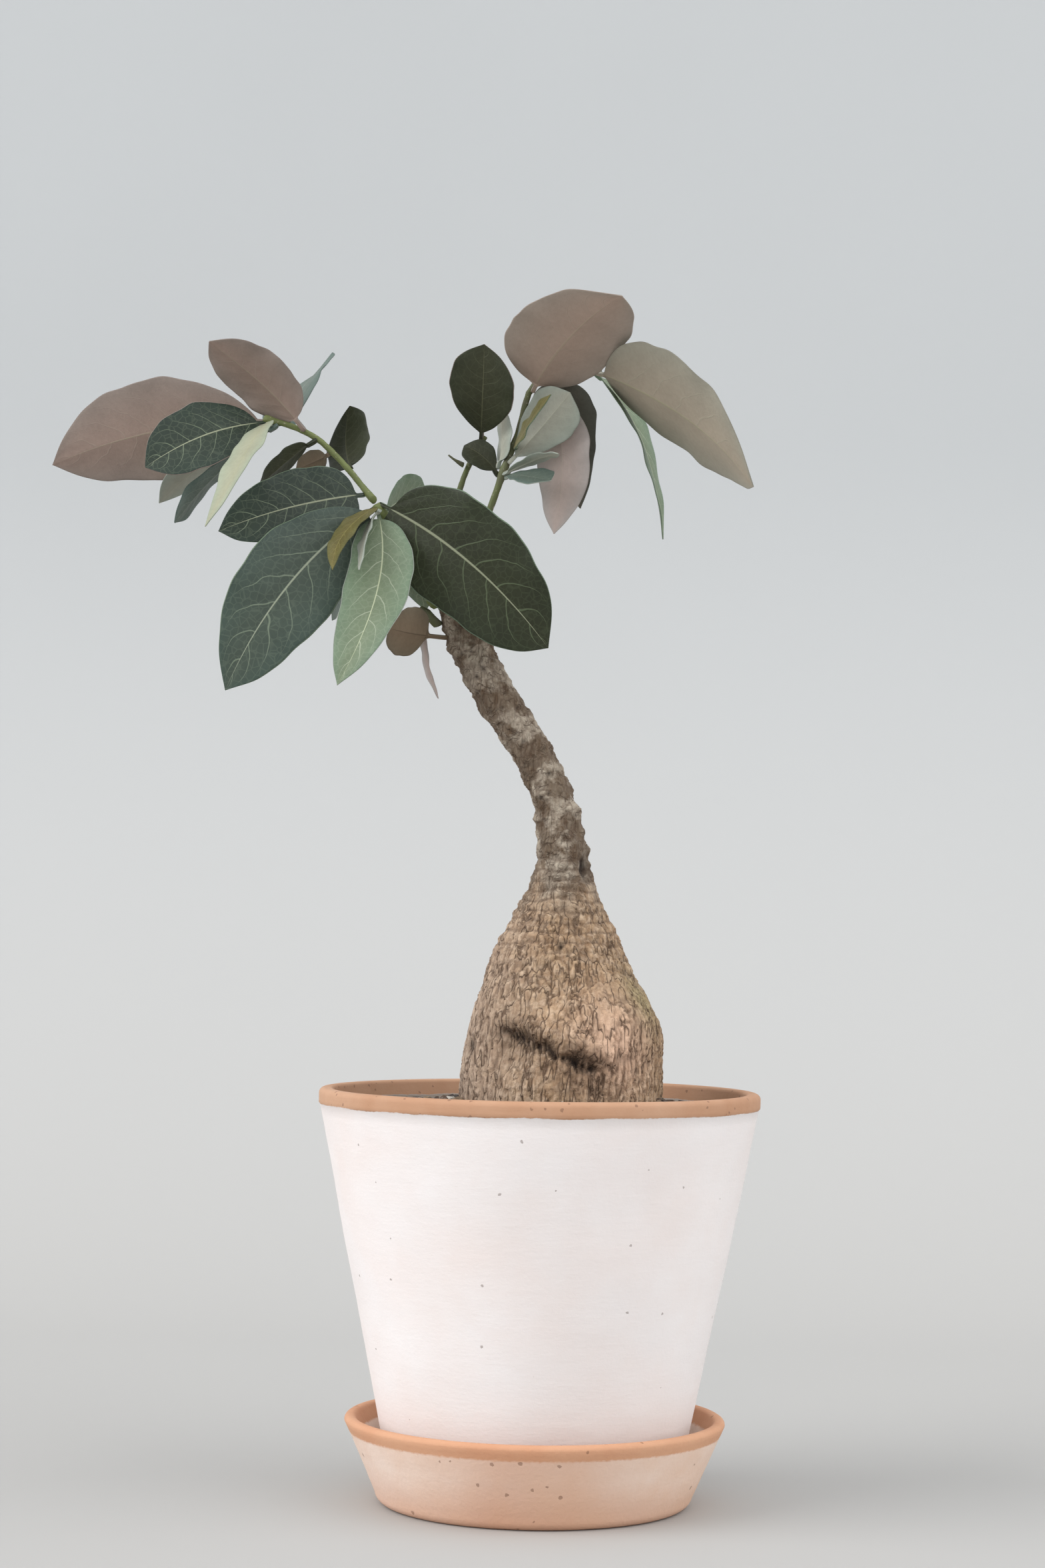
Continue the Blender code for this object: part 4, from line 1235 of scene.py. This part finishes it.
class PHYLLANTHUS_OT_fill(bpy.types.Operator):
    """Dress the soil, drainage and mesh, and strew grit over the soil"""

    bl_idname = "phyllanthus.fill"
    bl_label = "Soil and grit"

    def execute(self, context):
        looks = context.scene.phyllanthus_pot
        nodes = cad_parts
        dress(nodes["soil"], soil_finish("gritty_soil", 320.0, (0.05, 0.035, 0.027), (0.16, 0.12, 0.09)))
        pumice = soil_finish("pumice_gravel", 150.0, (0.22, 0.19, 0.155), (0.56, 0.52, 0.45))
        dress(nodes["drainage_gravel"], pumice)
        dress(nodes["drain_mesh"], plastic_finish())
        start_clean()
        bpy.ops.mesh.primitive_cube_add(size=1)
        stone = bpy.context.object
        edit_all(stone)
        bpy.ops.mesh.bevel(offset=0.24, segments=1, affect="EDGES")
        bpy.ops.object.mode_set(mode="OBJECT")
        corners = points_of(stone.data)
        faces = [tuple(p.vertices) for p in stone.data.polygons]
        trunk = merged_points(TRUNK)
        near = trunk[np.abs(trunk[:, 2] - SOIL_HIGH.z) < 0.012]
        middle = (near[:, :2].max(0) + near[:, :2].min(0)) / 2
        waist = (near[:, 0].max() - near[:, 0].min()) / 2
        reach = POT_HIGH.x - 0.0065
        rng = np.random.default_rng(11)
        co, polys, tones, kept = [], [], [], []

        def lay(stone_points):
            polys.extend(tuple(i + len(co) * len(corners) for i in face) for face in faces)
            co.append(stone_points)
            tones.extend([rng.random()] * len(corners))

        for _ in range(MOST_TRIES):
            if len(kept) == looks.grit_stones:
                break
            r = reach * np.sqrt(rng.random())
            a = rng.random() * 2 * pi
            x, y = r * cos(a), r * sin(a)
            size = rng.uniform(0.0016, 0.0040) * (1.25 if rng.random() < 0.12 else 1)
            if np.hypot(x - middle[0], y - middle[1]) < waist - 0.0015 or r + size * 0.5 > reach:
                continue
            if any((x - q[0]) ** 2 + (y - q[1]) ** 2 < (0.40 * (size + q[2])) ** 2 for q in kept):
                continue
            kept.append((x, y, size))
            shape = rolled_stone(corners, size, rng)
            rise = SOIL_HIGH.z - 0.0009 * (r / reach) ** 2 + rng.uniform(-0.0004, 0.0006)
            lay(shape + (x, y, rise))
        for _ in range(looks.mound_stones):
            a, d = rng.random() * 2 * pi, rng.uniform(0.0, 0.008)
            shape = rolled_stone(corners, rng.uniform(0.0026, 0.0042), rng)
            r = waist - 0.0005 + d
            rise = SOIL_HIGH.z + 0.0022 * (1 - d / 0.010)
            lay(shape + (middle[0] + r * cos(a), middle[1] + r * sin(a), rise))
        start_clean()
        mesh = bpy.data.meshes.new("soil_grit")
        mesh.from_pydata(np.concatenate(co).tolist(), [], polys)
        grit = bpy.data.objects.new("soil_grit", mesh)
        bpy.context.scene.collection.objects.link(grit)
        write_attribute(mesh, "tone", tones)
        bpy.data.objects.remove(stone)
        settle(grit, "soil_grit", "gritty_soil", [grit_finish()])
        return {"FINISHED"}


class PHYLLANTHUS_OT_trunk(bpy.types.Operator):
    """Smooth the trunk's solid, then carve its bark"""

    bl_idname = "phyllanthus.trunk"
    bl_label = "Caudex and stem"

    def execute(self, context):
        looks = context.scene.phyllanthus_bark
        obj = merged_copy(TRUNK, "bark_skin")
        edit_all(obj)
        bpy.ops.mesh.tris_convert_to_quads(face_threshold=radians(60), shape_threshold=radians(60))
        bpy.ops.mesh.select_all(action="SELECT")
        cut = (0, 0, SOIL_HIGH.z - 0.009)
        bpy.ops.mesh.bisect(plane_co=cut, plane_no=(0, 0, 1), use_fill=True, clear_inner=True)
        bpy.ops.object.mode_set(mode="OBJECT")
        soft = obj.modifiers.new("Soft", "SUBSURF")
        soft.levels = soft.render_levels = 3
        even = obj.modifiers.new("Even", "REMESH")
        even.mode = "VOXEL"
        even.voxel_size = looks.grain_size
        apply_modifiers(obj)
        carve_bark(obj.data, looks)
        only(obj)
        bpy.ops.object.shade_smooth()
        settle(obj, "caudex_bark", "bark", [bark_finish(looks)], TRUNK)
        return {"FINISHED"}


class PHYLLANTHUS_OT_twigs(bpy.types.Operator):
    """Grow the twigs' bark, swollen where leaves sit, down into what carries them"""

    bl_idname = "phyllanthus.twigs"
    bl_label = "Twigs"

    def execute(self, context):
        looks = context.scene.phyllanthus_bark
        green = twig_finish("green_twig_bark", looks.twig_young, [0.75 * c for c in looks.twig_young])
        brown = twig_finish("brown_twig_bark", looks.twig_old, [0.7 * c for c in looks.twig_young])
        seats = [read_leaf(name)["seat"] for name in LEAF_NAMES]
        for name in TWIG_NAMES:
            obj = merged_copy(name, name + "_bark")
            edit_all(obj)
            bpy.ops.mesh.subdivide(number_cuts=2, smoothness=0)
            bpy.ops.object.mode_set(mode="OBJECT")
            mesh = obj.data
            co, no = points_of(mesh), normals_of(mesh)
            host = merged_points(TWIG_HOSTS.get(name, TRUNK))
            tree = kdtree.KDTree(len(host))
            for i, p in enumerate(host):
                tree.insert(p, i)
            tree.balance()
            gaps = np.array([tree.find(p)[2] for p in co])
            root = co[np.argmin(gaps)]
            target = np.array(tree.find(root)[0])
            pull = falloff(np.linalg.norm(co - root, axis=1), 0.0022)
            push = np.array([
                0.10 * noise.noise(Vector(p) * 700) + 0.12 * noise.noise(Vector(p) * 260) for p in co
            ])
            for seat in seats:
                push += 0.28 * falloff(np.linalg.norm(co - seat, axis=1), 0.0022)
            push += 0.35 * pull
            co = co + no * (push * MM)[:, None] + np.outer(pull, unit(target - root)) * 0.0012
            put_points(mesh, co)
            only(obj)
            bpy.ops.object.shade_smooth()
            finish = green if name in ("twig_left", "twig_centre") else brown
            settle(obj, name + "_bark", "twig_bark", [finish], name)
        return {"FINISHED"}


class PHYLLANTHUS_OT_leaves(bpy.types.Operator):
    """Grow every leaf on its stalk, each side in its own finish"""

    bl_idname = "phyllanthus.leaves"
    bl_label = "Leaves"

    def execute(self, context):
        looks = context.scene.phyllanthus_leaf
        finishes = {}
        for name, tones in LEAF_TONES.items():
            finishes[name] = leaf_finish(name, getattr(looks, name), *tones)
        stained = leaf_finish("taupe_stained", looks.taupe, *LEAF_TONES["taupe"], stain=(0.13, 0.085, 0.03))
        finishes["taupe_stained"] = stained
        for index, name in enumerate(LEAF_NAMES):
            obj = grow_leaf(name, looks, 40 + index)
            sides = [finishes[finish] for finish in LEAF_FINISHES[name]]
            dress(obj, *sides)
            apply_modifiers(obj)
            obj.vertex_groups.clear()
            bpy.ops.object.shade_smooth()
            kept = np.empty(len(obj.data.polygons), int)
            obj.data.polygons.foreach_get("material_index", kept)
            settle(obj, name.replace("leaf_", "blade_"), "leaf", sides, name)
            obj.data.polygons.foreach_set("material_index", kept)
        return {"FINISHED"}


class PHYLLANTHUS_OT_stage(bpy.types.Operator):
    """Lay the floor and backdrop, hang the lights and set the camera"""

    bl_idname = "phyllanthus.stage"
    bl_label = "Stage"

    def execute(self, context):
        looks = context.scene.phyllanthus_stage
        start_clean()
        bpy.ops.mesh.primitive_plane_add(size=1, location=(0, 0, 0))
        sweep = bpy.context.object
        sweep.name = "floor_sweep"
        only(sweep)
        bpy.ops.transform.resize(value=(14.0, looks.depth, 1))
        bpy.ops.transform.translate(value=(0, looks.wall_distance - looks.depth / 2, SAUCER_LOW.z))
        bpy.ops.object.transform_apply(location=True, scale=True)
        select_vertices(sweep, lambda v: v.co.y > looks.wall_distance - 0.01)
        bpy.ops.mesh.extrude_edges_move(TRANSFORM_OT_translate={"value": (0, 0, 3.2)})
        select_vertices(sweep, lambda v: v.co.y > looks.wall_distance - 0.01 and v.co.z < 0.01)
        bpy.ops.mesh.bevel(offset=looks.cove, segments=24, affect="EDGES")
        bpy.ops.mesh.select_all(action="SELECT")
        bpy.ops.mesh.normals_make_consistent(inside=False)
        bpy.ops.object.mode_set(mode="OBJECT")
        facing = sweep.data.polygons[0].normal
        if facing.z < facing.y:
            flip(sweep)
        only(sweep)
        bpy.ops.object.shade_smooth()
        dress(sweep, sweep_finish(looks))
        world = bpy.data.worlds.new("even_light")
        world.use_nodes = True
        background = world.node_tree.nodes["Background"].inputs
        plug(background["Color"], (0.95, 0.975, 1.0))
        plug(background["Strength"], looks.sky)
        context.scene.world = world
        for name, power, softness, place in (
            ("key", looks.key, 50, (-1.2, -0.5, 0.9)),
            ("fill", looks.fill, 75, (1.2, -0.4, 0.7)),
            ("top", looks.top, 90, (0.1, -0.5, 1.5)),
        ):
            lamp = bpy.data.lights.new(name, "SUN")
            lamp.energy = power
            lamp.angle = radians(softness)
            obj = bpy.data.objects.new(name, lamp)
            context.scene.collection.objects.link(obj)
            obj.location = place
            obj.rotation_euler = (Vector((0, 0, 0.2)) - obj.location).to_track_quat("-Z", "Y").to_euler()
        level_reach = cos(looks.pitch)
        forward = Vector((sin(looks.turn) * level_reach, cos(looks.turn) * level_reach, sin(looks.pitch)))
        level = Vector((cos(looks.turn), -sin(looks.turn), 0))
        upright = level.cross(forward)
        right = level * cos(looks.roll) + upright * sin(looks.roll)
        up = upright * cos(looks.roll) - level * sin(looks.roll)
        data = bpy.data.cameras.new("camera")
        data.lens = looks.lens
        data.sensor_width = 36.0
        data.clip_start = 0.05
        camera = bpy.data.objects.new("camera", data)
        context.scene.collection.objects.link(camera)
        turn = Matrix((right, up, -forward)).transposed().to_4x4()
        camera.matrix_world = Matrix.Translation((0, -looks.distance, looks.height)) @ turn
        context.scene.camera = camera
        context.scene.view_settings.view_transform = "Standard"
        return {"FINISHED"}


class PHYLLANTHUS_PT_panel(bpy.types.Panel):
    """Lists every step of the plant"""

    bl_label = "Potted Phyllanthus"
    bl_idname = "PHYLLANTHUS_PT_panel"
    bl_space_type = "VIEW_3D"
    bl_region_type = "UI"
    bl_category = "Phyllanthus"

    def draw(self, context):
        for operator in OPERATORS:
            self.layout.operator(operator.bl_idname)
        for group in GROUPS:
            box = self.layout.box()
            looks = getattr(context.scene, group)
            for key in looks.__annotations__:
                box.prop(looks, key)


OPERATORS = (
    PHYLLANTHUS_OT_stage,
    PHYLLANTHUS_OT_pot,
    PHYLLANTHUS_OT_saucer,
    PHYLLANTHUS_OT_fill,
    PHYLLANTHUS_OT_trunk,
    PHYLLANTHUS_OT_twigs,
    PHYLLANTHUS_OT_leaves,
)
GROUPS = {
    "phyllanthus_pot": PotLooks,
    "phyllanthus_bark": BarkLooks,
    "phyllanthus_leaf": LeafLooks,
    "phyllanthus_stage": StageLooks,
}
CLASSES = (*GROUPS.values(), *OPERATORS, PHYLLANTHUS_PT_panel)


def register():
    for item in CLASSES:
        bpy.utils.register_class(item)
    for name, group in GROUPS.items():
        setattr(bpy.types.Scene, name, PointerProperty(type=group))


def unregister():
    for name in GROUPS:
        delattr(bpy.types.Scene, name)
    for item in reversed(CLASSES):
        bpy.utils.unregister_class(item)


def main():
    register()
    bpy.ops.phyllanthus.stage()
    bpy.ops.phyllanthus.pot()
    bpy.ops.phyllanthus.saucer()
    bpy.ops.phyllanthus.fill()
    bpy.ops.phyllanthus.trunk()
    bpy.ops.phyllanthus.twigs()
    bpy.ops.phyllanthus.leaves()


if __name__ == "__main__":
    main()
